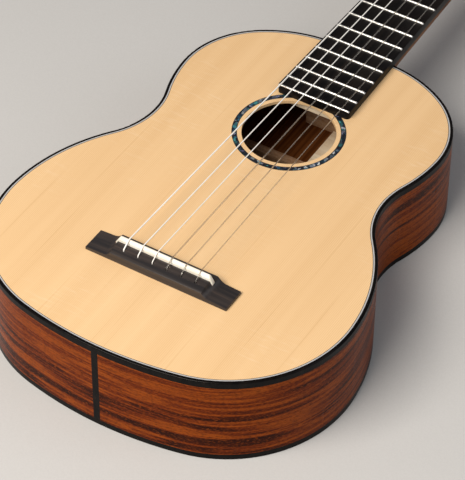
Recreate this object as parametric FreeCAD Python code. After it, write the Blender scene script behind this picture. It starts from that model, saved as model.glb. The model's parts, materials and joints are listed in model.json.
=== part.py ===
import FreeCAD, Part
import math
import os

# A small-bodied nylon-string guitar lying face up on its back, in millimetres.
#
# It is laid out in the soundboard's own frame: +X towards the treble side, +Y towards the
# head, +Z out of the top, with the saddle line at y = 0 and the soundboard's face at z = 0.
# The body is deeper at the tail than at the neck, so every finished shape is then tipped
# until the flat back lies level at z = 0, with the origin under the middle of the guitar.

V = FreeCAD.Vector
X_AXIS = V(1, 0, 0)
Z_AXIS = V(0, 0, 1)

# ---------------------------------------------------------------- driving dimensions
# Strings and scale
SCALE = 535.0            # nut to saddle
FRET_COUNT = 17
STRING_COUNT = 6
BRIDGE_SPREAD = 57.8     # first to last string at the saddle
NUT_SPREAD = 39.5        # first to last string at the nut
STRING_RADII = [0.54, 0.45, 0.38, 0.51, 0.41, 0.36]    # bass to treble

# Body outline: one half, from the tail round to the neck, as tangent arcs.
# Each arc is (radius, sweep in degrees, +1 for convex or -1 for concave).
TAIL_Y = -87.1
OUTLINE_ARCS = [
    (285.0, 12.8, 1),    # tail
    (97.0, 80.1, 1),     # lower bout
    (144.0, 34.5, 1),    # above the lower bout
    (60.0, 57.9, -1),    # waist
    (123.0, 17.6, 1),    # below the upper bout
    (69.0, 58.4, 1),     # upper bout
    (99.0, 34.5, 1),     # shoulder, ending level beside the neck
]

# Body depth and plate thicknesses
DEPTH_TAIL = 75.0
DEPTH_NECK = 69.0
TOP_THICK = 2.5
BACK_THICK = 2.6
RIB_THICK = 2.0
BINDING_THICK = 2.0
TOP_BINDING_HEIGHT = 5.3
BACK_BINDING_HEIGHT = 4.5
BINDING_CORNER = 0.9
PURFLING_EDGES = [2.0, 2.3, 3.2, 3.6]    # insets of the black, white and black lines
LINING_WIDTH = 5.5
LINING_DEPTH = 11.0
TAIL_WEDGE_WIDTH = 5.2
BACK_INLAY_WIDTH = 5.0

# Blocks, braces and strips inside the body: their places run along Y from the saddle line
TAIL_BLOCK_HALF = 30.0
TAIL_BLOCK_THICK = 14.0
NECK_BLOCK_HALF = 32.0
NECK_BLOCK_THICK = 24.0
BRACE_SCOOP = 40.0       # length over which a cross brace thins towards each end
BRACE_END_HEIGHT = 4.0
UPPER_BRACE = (202.5, 211.5)
UPPER_BRACE_HEIGHT = 7.5
LOWER_BRACE = (112.0, 119.0)
LOWER_BRACE_HEIGHT = 15.0
TOP_BRACE_HALF = 108.0
FAN_COUNT = 5
FAN_SPACING = 13.2       # between fan braces where they meet the lower cross brace
FAN_SPLAY = 0.16         # how much further apart they are per unit of length
FAN_WIDTH = 5.0
FAN_HEIGHT = 5.0
FAN_TAIL = -66.0
BRIDGE_PLATE_FRONT = 14.0
BRIDGE_PLATE_TAIL = -20.0
BRIDGE_PLATE_HALF = 62.0
BRIDGE_PLATE_THICK = 2.0
BACK_BRACES = [-35.0, 45.0, 122.0, 197.0]
BACK_BRACE_WIDTH = 7.0
BACK_BRACE_HEIGHT = 9.0
BACK_BRACE_HALF = 125.0
BACK_BRACE_SUNK = 0.5    # below the back's inner face, so that the sloping back meets it all over
SEAM_STRIP_HALF = 7.5
SEAM_STRIP_THICK = 2.2

# Soundhole and rosette
HOLE_Y = 165.6
HOLE_RADIUS = 34.4
ROSETTE_RADII = [37.6, 38.1, 41.1, 41.6]    # inner line, shell ring, outer line
ROSETTE_DEPTH = 1.2

# Bridge and saddle
BRIDGE_HALF = 56.8
BRIDGE_TAIL = -12.6
BRIDGE_FRONT = 6.7
BRIDGE_TAIL_HEIGHT = 6.6
BRIDGE_FRONT_HEIGHT = 7.2
BRIDGE_CROWN = 8.4
BRIDGE_CROWN_Y = -1.5
BRIDGE_BLOCK_HALVES = [35.8, 37.6]   # centre block, at its tail and its front
WING_ROOTS = [41.0, 45.0]            # where the ramps meet the wings, tail and front
WING_ROOT_HEIGHT = 3.0
WING_TIP_HEIGHT = 2.2
RAMP_HOLLOW_X = 0.9      # how far each ramp is scooped below the straight line
RAMP_HOLLOW_Z = 0.8
PIN_LINE = -6.9          # row of string holes
STRING_HOLE_RADIUS = 0.9
SADDLE_THICK = 2.9
SADDLE_TOP = 12.3
SADDLE_TOP_HALF = 35.7
SADDLE_FOOT_HALF = 39.1
SADDLE_SLOT_FLOOR = 3.0
SADDLE_TIP_HEIGHT = 4.1  # height of its ends above the slot's floor
SADDLE_FRONT_BEVEL = 0.5
SADDLE_BACK_BEVEL = 1.9

# Fingerboard, frets and nut
BOARD_THICK = 6.5
BOARD_END = 199.2
BOARD_END_HALF = 30.3
NUT_HALF = 22.5
BOARD_CORNER = 3.0
FRET_WIDTH = 2.0
FRET_HEIGHT = 1.1
FRET_END_INSET = 0.25
TANG_WIDTH = 0.6
TANG_DEPTH = 1.8
NUT_THICK = 5.0
NUT_SLOT_SPREAD = 0.14   # room beside each string
NUT_STRING_GAP = 0.9     # under the strings, above the frets, at the nut
NUT_SHOULDER = 0.75      # the nut's top above the bottoms of its slots
NUT_SLOT_FALL = 25.0     # degrees that the slots slope down behind
NUT_SLOT_GAP = 0.07      # under the strings
SIDE_DOT_FRETS = [5, 7, 9]
SIDE_DOT_RADIUS = 1.0
SIDE_DOT_DEPTH = 1.5

# Neck and head
SHAFT_DEPTH_HEEL = 20.0
SHAFT_DEPTH_NUT = 16.0
# Heel sections from the top down: (height, half width, length towards the head)
HEEL_SECTIONS = [
    (0.0, 28.4, 74.0),
    (-10.0, 25.5, 52.0),
    (-20.0, 20.0, 35.0),
    (-35.0, 14.5, 23.0),
    (-52.0, 11.0, 17.0),
    (-68.0, 9.5, 15.0),
]
HEEL_CAP_THICK = 3.0
TENON_WIDTH = 20.0
TENON_LENGTH = 13.0
TENON_BOTTOM = -54.0
HEAD_ANGLE = 11.0
HEAD_LENGTH = 152.0
HEAD_HALF = 33.0
HEAD_THICK = 16.0
HEAD_SHOULDER = 20.0     # length of the curved shoulders beside the nut
HEAD_SHOULDER_BOW = 1.6  # how far they bulge
HEAD_LEDGE = 0.3         # the head's neck is this much wider than the nut on each side
HEAD_ARCH = 6.0          # rise of the top edge
VENEER_THICK = 2.0
SLOT_INNER = 7.0
SLOT_OUTER = 22.5
SLOT_START = 17.0
SLOT_END = 132.0

# Tuning machines: distances run along the head from the nut
ROLLER_STATIONS = [42.0, 77.0, 112.0]
ROLLER_DROP = -8.0       # roller axis below the head's wooden face
BARREL_RADIUS = 4.2
AXLE_RADIUS = 3.0
RUNNING_GAP = 0.1
END_GAP = 0.35
ROLLER_INNER_END = 3.2   # where a roller's inner journal stops, from the head's middle line
JOURNAL_PROUD = 0.8      # a roller's outer journal beyond its gear
COIL_WIDTH = 5.0
COIL_PLACES = [18.9, 15.4, 12.2]    # from the middle line, nearest the nut first
PLATE_THICK = 1.5
PLATE_START = 24.5
PLATE_END = 133.0
PLATE_HALF_HEIGHT = 6.6
GEAR_STANDOFF = 0.7      # between the plate and the gear
GEAR_RADIUS = 6.2
GEAR_THICK = 4.0
WORM_RADIUS = 2.4
MESH_GAP = 0.3
WORM_SHAFT_RADIUS = 1.5
WORM_SHAFT_PROUD = 0.8   # above the upper ear
EAR_THICK = 1.4
EAR_HALF = 3.0
SCREW_STATIONS = [28.5, 62.5, 97.5, 129.0]
SCREW_RADIUS = 1.2
SCREW_LENGTH = 9.0
SCREW_HEAD_RADIUS = 2.5
SCREW_DOME_RADIUS = 5.0
SCREW_DOME_HEIGHT = 1.1
BUTTON_TOP = -20.0       # below the head's wooden face
BUTTON_LENGTH = 14.0
BUTTON_HALF_WIDTH = 7.5
BUTTON_HALF_THICK = 4.5
BUTTON_SHAFT_DEPTH = 8.4
COLLAR_RADIUS = 2.4
COLLAR_TOP = 1.4         # above the button's oval
COLLAR_ROOT = 3.0        # inside it

# String ends
STRING_LIFT = 0.03       # between a string and the saddle's crown
STRING_HOLE_LIFT = 0.35  # a string's corner above the mouth of its hole
BEAD_RADIUS = 1.9
BEAD_GAP = 0.02
COIL_GAP = 0.12
NUT_CONTACT = 0.4        # where a string turns down in its slot, behind the nut's front face

# ---------------------------------------------------------------- worked-out sizes
TALL = 200.0             # taller than any part of the body
TOUCHING = 1e-3          # closer than this counts as the same place


def walk_outline(inset):
    """The points of one outline half, inset from the outer edge: (start, mid, end) per arc."""
    x, y, heading = 0.0, TAIL_Y + inset, 0.0
    arcs = []
    for radius, sweep, bend in OUTLINE_ARCS:
        r = radius - bend * inset
        centre_x = x - bend * r * math.sin(heading)
        centre_y = y + bend * r * math.cos(heading)
        points = []
        for part in (0.0, 0.5, 1.0):
            angle = heading + bend * math.radians(sweep) * part
            px = centre_x + bend * r * math.sin(angle)
            py = centre_y - bend * r * math.cos(angle)
            points.append(V(px, py, 0))
        arcs.append(points)
        heading += bend * math.radians(sweep)
        x, y = points[2].x, points[2].y
    return arcs


NECK_END_Y = walk_outline(0.0)[-1][2].y
TILT = math.degrees(math.atan2(DEPTH_TAIL - DEPTH_NECK, NECK_END_Y - TAIL_Y))
FRET_TOP = BOARD_THICK + FRET_HEIGHT
HEAD_Y = SCALE + NUT_THICK
PLATE_X = HEAD_HALF
GEAR_X = PLATE_X + PLATE_THICK + GEAR_STANDOFF
MACHINE_X = GEAR_X + GEAR_THICK / 2
WORM_OFFSET = GEAR_RADIUS + WORM_RADIUS + MESH_GAP
SLOT_HALF = (SLOT_OUTER - SLOT_INNER) / 2
SLOT_X = (SLOT_OUTER + SLOT_INNER) / 2
BRACE_END_INSET = RIB_THICK + LINING_WIDTH
NUT_TOP = FRET_TOP + NUT_STRING_GAP + NUT_SHOULDER
BEAD_Z = -TOP_THICK - BRIDGE_PLATE_THICK - BEAD_RADIUS - BEAD_GAP


# ---------------------------------------------------------------- helpers
def half_face(inset):
    """The treble half of the body's outline as a flat face."""
    arcs = walk_outline(inset)
    edges = []
    for start, middle, end in arcs:
        edges.append(Part.Arc(start, middle, end).toShape())
    first = arcs[0][0]
    last = arcs[-1][2]
    corner = V(0, last.y, 0)
    edges.append(Part.LineSegment(last, corner).toShape())
    edges.append(Part.LineSegment(corner, first).toShape())
    return Part.Face(Part.Wire(edges))


def full_face(inset):
    """The whole outline as a flat face."""
    edges = []
    arcs = walk_outline(inset)
    for side in (1, -1):
        for points in arcs:
            start, middle, end = [V(side * p.x, p.y, 0) for p in points]
            edges.append(Part.Arc(start, middle, end).toShape())
    last = arcs[-1][2]
    edges.append(Part.LineSegment(last, V(-last.x, last.y, 0)).toShape())
    return Part.Face(Part.Wire(Part.__sortEdges__(edges)))


def prism(face, low, high):
    """A flat face at z = 0 drawn out between two heights."""
    shape = face.copy()
    shape.translate(V(0, 0, low))
    return shape.extrude(V(0, 0, high - low))


def mirror_x(shape):
    """The bass-side twin of a treble-side shape."""
    return shape.mirror(V(0, 0, 0), X_AXIS)


def both_sides(shape):
    """The pair: treble side first, then bass side."""
    return shape, mirror_x(shape)


def box(x0, x1, y0, y1, z0, z1):
    """A box between two corners."""
    return Part.makeBox(x1 - x0, y1 - y0, z1 - z0, V(x0, y0, z0))


def rod(radius, start, end):
    """A round bar between two points."""
    axis = end - start
    return Part.makeCylinder(radius, axis.Length, start, axis)


def plate_from(points, direction):
    """A closed polygon drawn out along a direction."""
    return Part.Face(Part.makePolygon(points + [points[0]])).extrude(direction)


def back_layer(low, high):
    """A slab parallel to the back, from low to high inside the back's outer face."""
    slab = box(-TALL, TALL, -TALL, 4 * TALL, low, high)
    slab.rotate(V(0, 0, 0), X_AXIS, TILT)
    slab.translate(V(0, TAIL_Y, -DEPTH_TAIL))
    return slab


def back_height(y):
    """Height of the back's outer face at a distance along the body."""
    return -DEPTH_TAIL + (y - TAIL_Y) * math.tan(math.radians(TILT))


def fret_y(number):
    """Distance of a fret from the saddle."""
    return SCALE * 2 ** (-number / 12.0)


def board_half(y):
    """Half width of the fingerboard at a distance from the saddle."""
    return NUT_HALF + (BOARD_END_HALF - NUT_HALF) * (SCALE - y) / (SCALE - BOARD_END)


def string_x(index, spread):
    """Sideways place of a string: 0 is the bass string."""
    return spread * (index / (STRING_COUNT - 1) - 0.5)


def head_point(x, along, up):
    """A point in the head's tilted frame, as a point of the soundboard's frame."""
    tilt = math.radians(HEAD_ANGLE)
    y = HEAD_Y + along * math.cos(tilt) + up * math.sin(tilt)
    z = -along * math.sin(tilt) + up * math.cos(tilt)
    return V(x, y, z)


def on_head(shape):
    """Carry a shape drawn in the head's own frame to its place."""
    placed = shape.copy()
    placed.rotate(V(0, 0, 0), X_AXIS, -HEAD_ANGLE)
    placed.translate(V(0, HEAD_Y, 0))
    return placed


def string_pipe(points, radius):
    """A round cord along a line of straight runs with mitred corners."""
    wire = Part.makePolygon(points)
    circle = Part.Circle(points[0], points[1] - points[0], radius).toShape()
    return wire.makePipeShell([Part.Wire(circle)], True, False, 1)


def string_holes(low, high):
    """The row of string holes as cutting rods."""
    rods = []
    for index in range(STRING_COUNT):
        x = string_x(index, BRIDGE_SPREAD)
        rods.append(rod(STRING_HOLE_RADIUS, V(x, PIN_LINE, low), V(x, PIN_LINE, high)))
    return Part.makeCompound(rods)


# ---------------------------------------------------------------- body
def make_soundboard():
    """Two bookmatched halves with the soundhole, the rosette channel and the string holes."""
    half = prism(half_face(PURFLING_EDGES[-1]), -TOP_THICK, 0)
    centre = V(0, HOLE_Y, -TALL / 2)
    half = half.cut(Part.makeCylinder(HOLE_RADIUS, TALL, centre))
    half = half.cut(rosette_ring(ROSETTE_RADII[0], ROSETTE_RADII[-1]))
    treble, bass = both_sides(half)
    holes = string_holes(-TALL / 4, TALL / 4)
    return {"soundboard_treble": treble.cut(holes), "soundboard_bass": bass.cut(holes)}


def rosette_ring(inner, outer):
    """A flat ring let into the soundboard's face."""
    base = V(0, HOLE_Y, -ROSETTE_DEPTH)
    ring = Part.makeCylinder(outer, ROSETTE_DEPTH, base)
    return ring.cut(Part.makeCylinder(inner, ROSETTE_DEPTH, base))


def make_rosette():
    """The shell ring and the thin dark line on each side of it."""
    r0, r1, r2, r3 = ROSETTE_RADII
    lines = Part.makeCompound([rosette_ring(r0, r1), rosette_ring(r2, r3)])
    return {"rosette_shell": rosette_ring(r1, r2), "rosette_lines": lines}


def edge_ring(outer_inset, inner_inset, low, high):
    """A strip that follows the outline between two insets."""
    outer = prism(full_face(outer_inset), low, high)
    return outer.cut(prism(full_face(inner_inset), low - 1, high + 1))


def make_purfling():
    """A white line between two black lines round the soundboard."""
    e0, e1, e2, e3 = PURFLING_EDGES
    black = [edge_ring(e0, e1, -TOP_THICK, 0), edge_ring(e2, e3, -TOP_THICK, 0)]
    white = edge_ring(e1, e2, -TOP_THICK, 0)
    return {"purfling_black_lines": Part.makeCompound(black), "purfling_white_line": white}


def round_outer_edges(ring, width):
    """Round the outer corner of an edge strip where it meets the soundboard's level."""
    outline = full_face(0.0).OuterWire
    outer = []
    for edge in ring.Edges:
        middle = edge.valueAt((edge.FirstParameter + edge.LastParameter) / 2)
        level = abs(edge.Vertexes[0].Z) < TOUCHING and abs(edge.Vertexes[-1].Z) < TOUCHING
        if level and outline.distToShape(Part.Vertex(middle))[0] < width / 2:
            outer.append(edge)
    return ring.makeFillet(BINDING_CORNER, outer)


def make_bindings():
    """Ebony strips round the top and back corners of the body."""
    top = edge_ring(0.0, BINDING_THICK, -TOP_BINDING_HEIGHT, 0)
    top = round_outer_edges(top, BINDING_THICK)
    back = edge_ring(0.0, BINDING_THICK, -TALL / 2, 0)
    back = back.common(back_layer(0, BACK_BINDING_HEIGHT))
    return {"top_binding": top, "back_binding": back}


def make_ribs():
    """The bent sides, which meet at a dark wedge at the tail and behind the neck's tenon."""
    ring = edge_ring(0.0, RIB_THICK, -TALL / 2, -TOP_BINDING_HEIGHT)
    ring = ring.common(back_layer(BACK_BINDING_HEIGHT, TALL))
    half = TAIL_WEDGE_WIDTH / 2
    wedge_zone = box(-half, half, TAIL_Y - 5, TAIL_Y + 20, -TALL, 0)
    wedge = ring.common(wedge_zone)
    ring = ring.cut(wedge_zone).cut(tenon_box(0.0))
    treble = ring.common(box(0, TALL, TAIL_Y - 5, NECK_END_Y + 5, -TALL, 0))
    bass = ring.common(box(-TALL, 0, TAIL_Y - 5, NECK_END_Y + 5, -TALL, 0))
    return {"rib_treble": treble, "rib_bass": bass, "tail_wedge": wedge}


def make_back():
    """Two back halves with a narrow inlaid strip between them."""
    sheet = prism(full_face(BINDING_THICK), -TALL / 2, 0).common(back_layer(0, BACK_THICK))
    half = BACK_INLAY_WIDTH / 2
    strip_zone = box(-half, half, TAIL_Y - 5, NECK_END_Y + 5, -TALL, 0)
    treble_zone = box(half, TALL, TAIL_Y - 5, NECK_END_Y + 5, -TALL, 0)
    return {
        "back_inlay": sheet.common(strip_zone),
        "back_treble": sheet.common(treble_zone),
        "back_bass": sheet.common(mirror_x(treble_zone)),
    }


def tail_block_zone():
    """The space that the tail block fills, before it is trimmed to the body."""
    return box(-TAIL_BLOCK_HALF, TAIL_BLOCK_HALF, TAIL_Y - 5, TAIL_Y + TAIL_BLOCK_THICK, -TALL, 0)


def neck_block_zone():
    """The space that the neck block fills, before it is trimmed to the body."""
    start = NECK_END_Y - NECK_BLOCK_THICK
    return box(-NECK_BLOCK_HALF, NECK_BLOCK_HALF, start, NECK_END_Y + 5, -TALL, 0)


def tenon_box(gap):
    """The tongue of the heel that is glued into the neck block."""
    half = TENON_WIDTH / 2 + gap
    return box(-half, half, NECK_END_Y - TENON_LENGTH, NECK_END_Y, TENON_BOTTOM, -TOP_BINDING_HEIGHT)


def make_blocks_and_linings():
    """Blocks at both ends, and the linings that join the plates to the ribs between them."""
    inner = prism(full_face(RIB_THICK), -TALL / 2, -TOP_THICK)
    inner = inner.common(back_layer(BACK_THICK, TALL))
    tail_block = inner.common(tail_block_zone())
    neck_block = inner.common(neck_block_zone()).cut(tenon_box(0.0))
    ring = edge_ring(RIB_THICK, RIB_THICK + LINING_WIDTH, -TALL / 2, -TOP_THICK)
    ring = ring.cut(tail_block_zone()).cut(neck_block_zone())
    top_lining = ring.common(box(-TALL, TALL, -TALL, 2 * TALL, -TOP_THICK - LINING_DEPTH, 0))
    back_lining = ring.common(back_layer(BACK_THICK, BACK_THICK + LINING_DEPTH))
    return {
        "tail_block": tail_block,
        "neck_block": neck_block,
        "top_lining": top_lining,
        "back_lining": back_lining,
    }


def inner_room():
    """The space inside the linings, which trims every brace to length."""
    return prism(full_face(BRACE_END_INSET), -TALL / 2, -TOP_THICK)


def cross_brace(start, end, height, half_length, face, upward):
    """A bar across the body that thins at both ends: upward is +1 on the back, -1 on the top."""
    tip = face + upward * BRACE_END_HEIGHT
    edge = face + upward * height
    shoulder = half_length - BRACE_SCOOP
    points = [
        V(-half_length, start, face),
        V(half_length, start, face),
        V(half_length, start, tip),
        V(shoulder, start, edge),
        V(-shoulder, start, edge),
        V(-half_length, start, tip),
    ]
    return plate_from(points, V(0, end - start, 0))


def make_top_braces():
    """Two cross braces, five fan braces and the plate under the bridge."""
    room = inner_room()
    face = -TOP_THICK
    upper = cross_brace(*UPPER_BRACE, UPPER_BRACE_HEIGHT, TOP_BRACE_HALF, face, -1).common(room)
    lower = cross_brace(*LOWER_BRACE, LOWER_BRACE_HEIGHT, TOP_BRACE_HALF, face, -1).common(room)
    fans = []
    half = FAN_WIDTH / 2
    stretches = ((LOWER_BRACE[0], BRIDGE_PLATE_FRONT), (BRIDGE_PLATE_TAIL, FAN_TAIL))
    for index in range(FAN_COUNT):
        place = index - (FAN_COUNT - 1) / 2
        for start, end in stretches:
            x0 = place * (FAN_SPACING + FAN_SPLAY * (LOWER_BRACE[0] - start))
            x1 = place * (FAN_SPACING + FAN_SPLAY * (LOWER_BRACE[0] - end))
            points = [
                V(x0 - half, start, face),
                V(x0 + half, start, face),
                V(x1 + half, end, face),
                V(x1 - half, end, face),
            ]
            fans.append(plate_from(points, V(0, 0, -FAN_HEIGHT)))
    half = BRIDGE_PLATE_HALF
    low = face - BRIDGE_PLATE_THICK
    plate = box(-half, half, BRIDGE_PLATE_TAIL, BRIDGE_PLATE_FRONT, low, face)
    plate = plate.cut(string_holes(-TALL / 4, TALL / 4))
    return {
        "upper_cross_brace": upper,
        "lower_cross_brace": lower,
        "fan_braces": Part.makeCompound([fan.common(room) for fan in fans]),
        "bridge_plate": plate,
    }


def make_back_braces():
    """Four cross braces on the back, and the strip that covers its centre seam between them."""
    room = inner_room().common(back_layer(BACK_THICK, TALL))
    braces = []
    strips = []
    half = BACK_BRACE_WIDTH / 2
    edges = [TAIL_Y + TAIL_BLOCK_THICK]
    for centre in BACK_BRACES:
        face = back_height(centre) + BACK_THICK - BACK_BRACE_SUNK
        start, end = centre - half, centre + half
        brace = cross_brace(start, end, BACK_BRACE_HEIGHT, BACK_BRACE_HALF, face, 1)
        braces.append(brace.common(room))
        edges += [start, end]
    edges.append(NECK_END_Y - NECK_BLOCK_THICK)
    layer = back_layer(BACK_THICK, BACK_THICK + SEAM_STRIP_THICK)
    for start, end in zip(edges[0::2], edges[1::2]):
        strip = box(-SEAM_STRIP_HALF, SEAM_STRIP_HALF, start, end, -TALL, 0)
        strips.append(strip.common(layer))
    return {
        "back_braces": Part.makeCompound(braces),
        "back_seam_strips": Part.makeCompound(strips),
    }


# ---------------------------------------------------------------- bridge
def make_bridge():
    """A straight string-through bridge: arched centre block, scooped ramps and thin wings."""
    y0, y1 = BRIDGE_TAIL, BRIDGE_FRONT
    tail_foot, tail_edge = V(0, y0, 0), V(0, y0, BRIDGE_TAIL_HEIGHT)
    front_foot, front_edge = V(0, y1, 0), V(0, y1, BRIDGE_FRONT_HEIGHT)
    crown = V(0, BRIDGE_CROWN_Y, BRIDGE_CROWN)
    side = Part.Wire([
        Part.LineSegment(tail_foot, tail_edge).toShape(),
        Part.Arc(tail_edge, crown, front_edge).toShape(),
        Part.LineSegment(front_edge, front_foot).toShape(),
        Part.LineSegment(front_foot, tail_foot).toShape(),
    ])
    section = Part.Face(side)
    section.translate(V(-BRIDGE_HALF, 0, 0))
    block = section.extrude(V(2 * BRIDGE_HALF, 0, 0))
    roof = BRIDGE_CROWN + 1
    cuts = []
    for sign in (1, -1):
        ends = []
        for y, half, foot in zip((y0 - 1, y1 + 1), BRIDGE_BLOCK_HALVES, WING_ROOTS):
            corner = V(sign * half, y, roof)
            root = V(sign * foot, y, WING_ROOT_HEIGHT)
            tip = V(sign * (BRIDGE_HALF + 1), y, WING_TIP_HEIGHT)
            far = V(sign * (BRIDGE_HALF + 1), y, roof)
            middle = (corner + root) / 2 - V(sign * RAMP_HOLLOW_X, 0, RAMP_HOLLOW_Z)
            ends.append(Part.Wire([
                Part.Arc(corner, middle, root).toShape(),
                Part.LineSegment(root, tip).toShape(),
                Part.LineSegment(tip, far).toShape(),
                Part.LineSegment(far, corner).toShape(),
            ]))
        cuts.append(Part.makeLoft(ends, True, True))
    block = block.cut(Part.makeCompound(cuts))
    half = SADDLE_THICK / 2
    slot = box(-SADDLE_FOOT_HALF, SADDLE_FOOT_HALF, -half, half, SADDLE_SLOT_FLOOR, TALL)
    block = block.cut(slot).cut(string_holes(-1, BRIDGE_CROWN + 1))
    return block


def make_saddle():
    """A bone bar whose ends ramp down with the bridge, crowned under the strings."""
    half = SADDLE_THICK / 2
    floor = SADDLE_SLOT_FLOOR
    far = -TALL / 2
    section = [
        V(far, -half, floor),
        V(far, half, floor),
        V(far, half, SADDLE_TOP - SADDLE_FRONT_BEVEL),
        V(far, half - SADDLE_FRONT_BEVEL, SADDLE_TOP),
        V(far, 0, SADDLE_TOP),
        V(far, -half, SADDLE_TOP - SADDLE_BACK_BEVEL),
    ]
    bar = plate_from(section, V(TALL, 0, 0))
    tip = floor + SADDLE_TIP_HEIGHT
    front = [
        V(-SADDLE_FOOT_HALF, far, floor),
        V(SADDLE_FOOT_HALF, far, floor),
        V(SADDLE_FOOT_HALF, far, tip),
        V(SADDLE_TOP_HALF, far, SADDLE_TOP),
        V(-SADDLE_TOP_HALF, far, SADDLE_TOP),
        V(-SADDLE_FOOT_HALF, far, tip),
    ]
    return bar.common(plate_from(front, V(0, TALL, 0)))


# ---------------------------------------------------------------- neck
def make_fingerboard():
    """A tapered board over the neck and the soundboard, and the frets let into it."""
    points = [
        V(-BOARD_END_HALF, BOARD_END, 0),
        V(BOARD_END_HALF, BOARD_END, 0),
        V(NUT_HALF, SCALE, 0),
        V(-NUT_HALF, SCALE, 0),
    ]
    board = plate_from(points, V(0, 0, BOARD_THICK))
    corners = []
    for edge in board.Edges:
        low, high = edge.Vertexes[0], edge.Vertexes[-1]
        upright = abs(low.Z - high.Z) > BOARD_THICK / 2
        if upright and abs(low.Y - BOARD_END) < TOUCHING:
            corners.append(edge)
    board = board.makeFillet(BOARD_CORNER, corners)
    frets = []
    slots = []
    for number in range(1, FRET_COUNT + 1):
        crown, tang = make_fret(number)
        frets.append(crown.fuse(tang))
        slots.append(tang)
    board = board.cut(Part.makeCompound(slots))
    return {"fingerboard": board, "frets": Part.makeCompound(frets)}


def make_fret(number):
    """One fret: a low round crown on the board and a thin tang let into it."""
    y = fret_y(number)
    half = board_half(y) - FRET_END_INSET
    near = V(-half, y - FRET_WIDTH / 2, BOARD_THICK)
    far = V(-half, y + FRET_WIDTH / 2, BOARD_THICK)
    arc = Part.Arc(near, V(-half, y, FRET_TOP), far).toShape()
    base = Part.LineSegment(far, near).toShape()
    crown = Part.Face(Part.Wire([arc, base])).extrude(V(2 * half, 0, 0))
    y0, y1 = y - TANG_WIDTH / 2, y + TANG_WIDTH / 2
    return crown, box(-half, half, y0, y1, BOARD_THICK - TANG_DEPTH, BOARD_THICK)


def make_side_dots(fingerboard):
    """Position dots in the bass edge of the board; returns the board with their holes."""
    dots = []
    for number in SIDE_DOT_FRETS:
        y = (fret_y(number) + fret_y(number - 1)) / 2
        half = board_half(y)
        start = V(-half - 1, y, BOARD_THICK / 2)
        dots.append(rod(SIDE_DOT_RADIUS, start, V(-half + SIDE_DOT_DEPTH, y, BOARD_THICK / 2)))
    pegs = Part.makeCompound(dots)
    return fingerboard.cut(pegs), pegs.common(fingerboard)


def string_height_at_saddle(index):
    """Height of a string's middle where it crosses the saddle."""
    return SADDLE_TOP + STRING_RADII[index] + STRING_LIFT


def string_height_at_nut(index):
    """Height of a string's middle in its nut slot."""
    return FRET_TOP + NUT_STRING_GAP + STRING_RADII[index]


def slot_outline(x, y, half, low):
    """The outline of a nut slot where it crosses a plane of constant y."""
    high = NUT_TOP + 1
    corners = [V(x - half, y, low), V(x + half, y, low), V(x + half, y, high), V(x - half, y, high)]
    return Part.makePolygon(corners + [corners[0]])


def make_nut():
    """A bone bar with a slot per string, which falls and turns towards the string's roller."""
    bar = box(-NUT_HALF, NUT_HALF, SCALE, SCALE + NUT_THICK, 0, NUT_TOP)
    front, turn, back = SCALE - 1, SCALE + NUT_CONTACT + 0.1, SCALE + NUT_THICK + 1
    fall = math.tan(math.radians(NUT_SLOT_FALL)) * (back - turn)
    for index, radius in enumerate(STRING_RADII):
        side, station, coil_x = machine_of(index)
        x = string_x(index, NUT_SPREAD)
        x_back = x + (side * coil_x - x) * (back - turn) / (HEAD_Y + station - turn)
        low = string_height_at_nut(index) - radius - NUT_SLOT_GAP
        half = radius + NUT_SLOT_SPREAD
        outlines = [
            slot_outline(x, front, half, low),
            slot_outline(x, turn, half, low),
            slot_outline(x_back, back, half, low - fall),
        ]
        bar = bar.cut(Part.makeLoft(outlines, True, True))
    return bar


def shaft_section(y, depth):
    """A half-oval section of the neck's shaft."""
    half = board_half(y)
    ellipse = Part.Ellipse(V(0, 0, 0), half, depth)
    arc = Part.ArcOfEllipse(ellipse, math.pi, 2 * math.pi).toShape()
    arc.rotate(V(0, 0, 0), X_AXIS, 90)
    arc.translate(V(0, y, 0))
    start = V(-half, y, 0)
    end = V(half, y, 0)
    return Part.Wire([arc, Part.LineSegment(end, start).toShape()])


def heel_section(z, half, length):
    """A level section of the heel: flat against the body, rounded towards the head."""
    major = max(half, length)
    minor = min(half, length)
    ellipse = Part.Ellipse(V(0, 0, 0), major, minor)
    if half >= length:
        arc = Part.ArcOfEllipse(ellipse, 0, math.pi).toShape()
    else:
        arc = Part.ArcOfEllipse(ellipse, -math.pi / 2, math.pi / 2).toShape()
        arc.rotate(V(0, 0, 0), Z_AXIS, 90)
    arc.translate(V(0, NECK_END_Y, z))
    start = V(half, NECK_END_Y, z)
    end = V(-half, NECK_END_Y, z)
    return Part.Wire([arc, Part.LineSegment(end, start).toShape()])


def head_outline():
    """The head's plan in its own frame: shoulders, straight sides and a shallow arch."""
    neck_half = NUT_HALF + HEAD_LEDGE
    ends = (HEAD_SHOULDER, HEAD_LENGTH - HEAD_ARCH)
    right = [V(HEAD_HALF, y, 0) for y in ends]
    left = [V(-HEAD_HALF, y, 0) for y in reversed(ends)]
    bend_x = (neck_half + HEAD_HALF) / 2 + HEAD_SHOULDER_BOW
    bend_y = HEAD_SHOULDER / 2 - HEAD_SHOULDER_BOW
    bend = V(bend_x, bend_y, 0)
    edges = [
        Part.LineSegment(V(-neck_half, 0, 0), V(neck_half, 0, 0)).toShape(),
        Part.Arc(V(neck_half, 0, 0), bend, right[0]).toShape(),
        Part.LineSegment(right[0], right[1]).toShape(),
        Part.Arc(right[1], V(0, HEAD_LENGTH, 0), left[0]).toShape(),
        Part.LineSegment(left[0], left[1]).toShape(),
        Part.Arc(left[1], V(-bend.x, bend.y, 0), V(-neck_half, 0, 0)).toShape(),
    ]
    return Part.Face(Part.Wire(edges))


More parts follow.
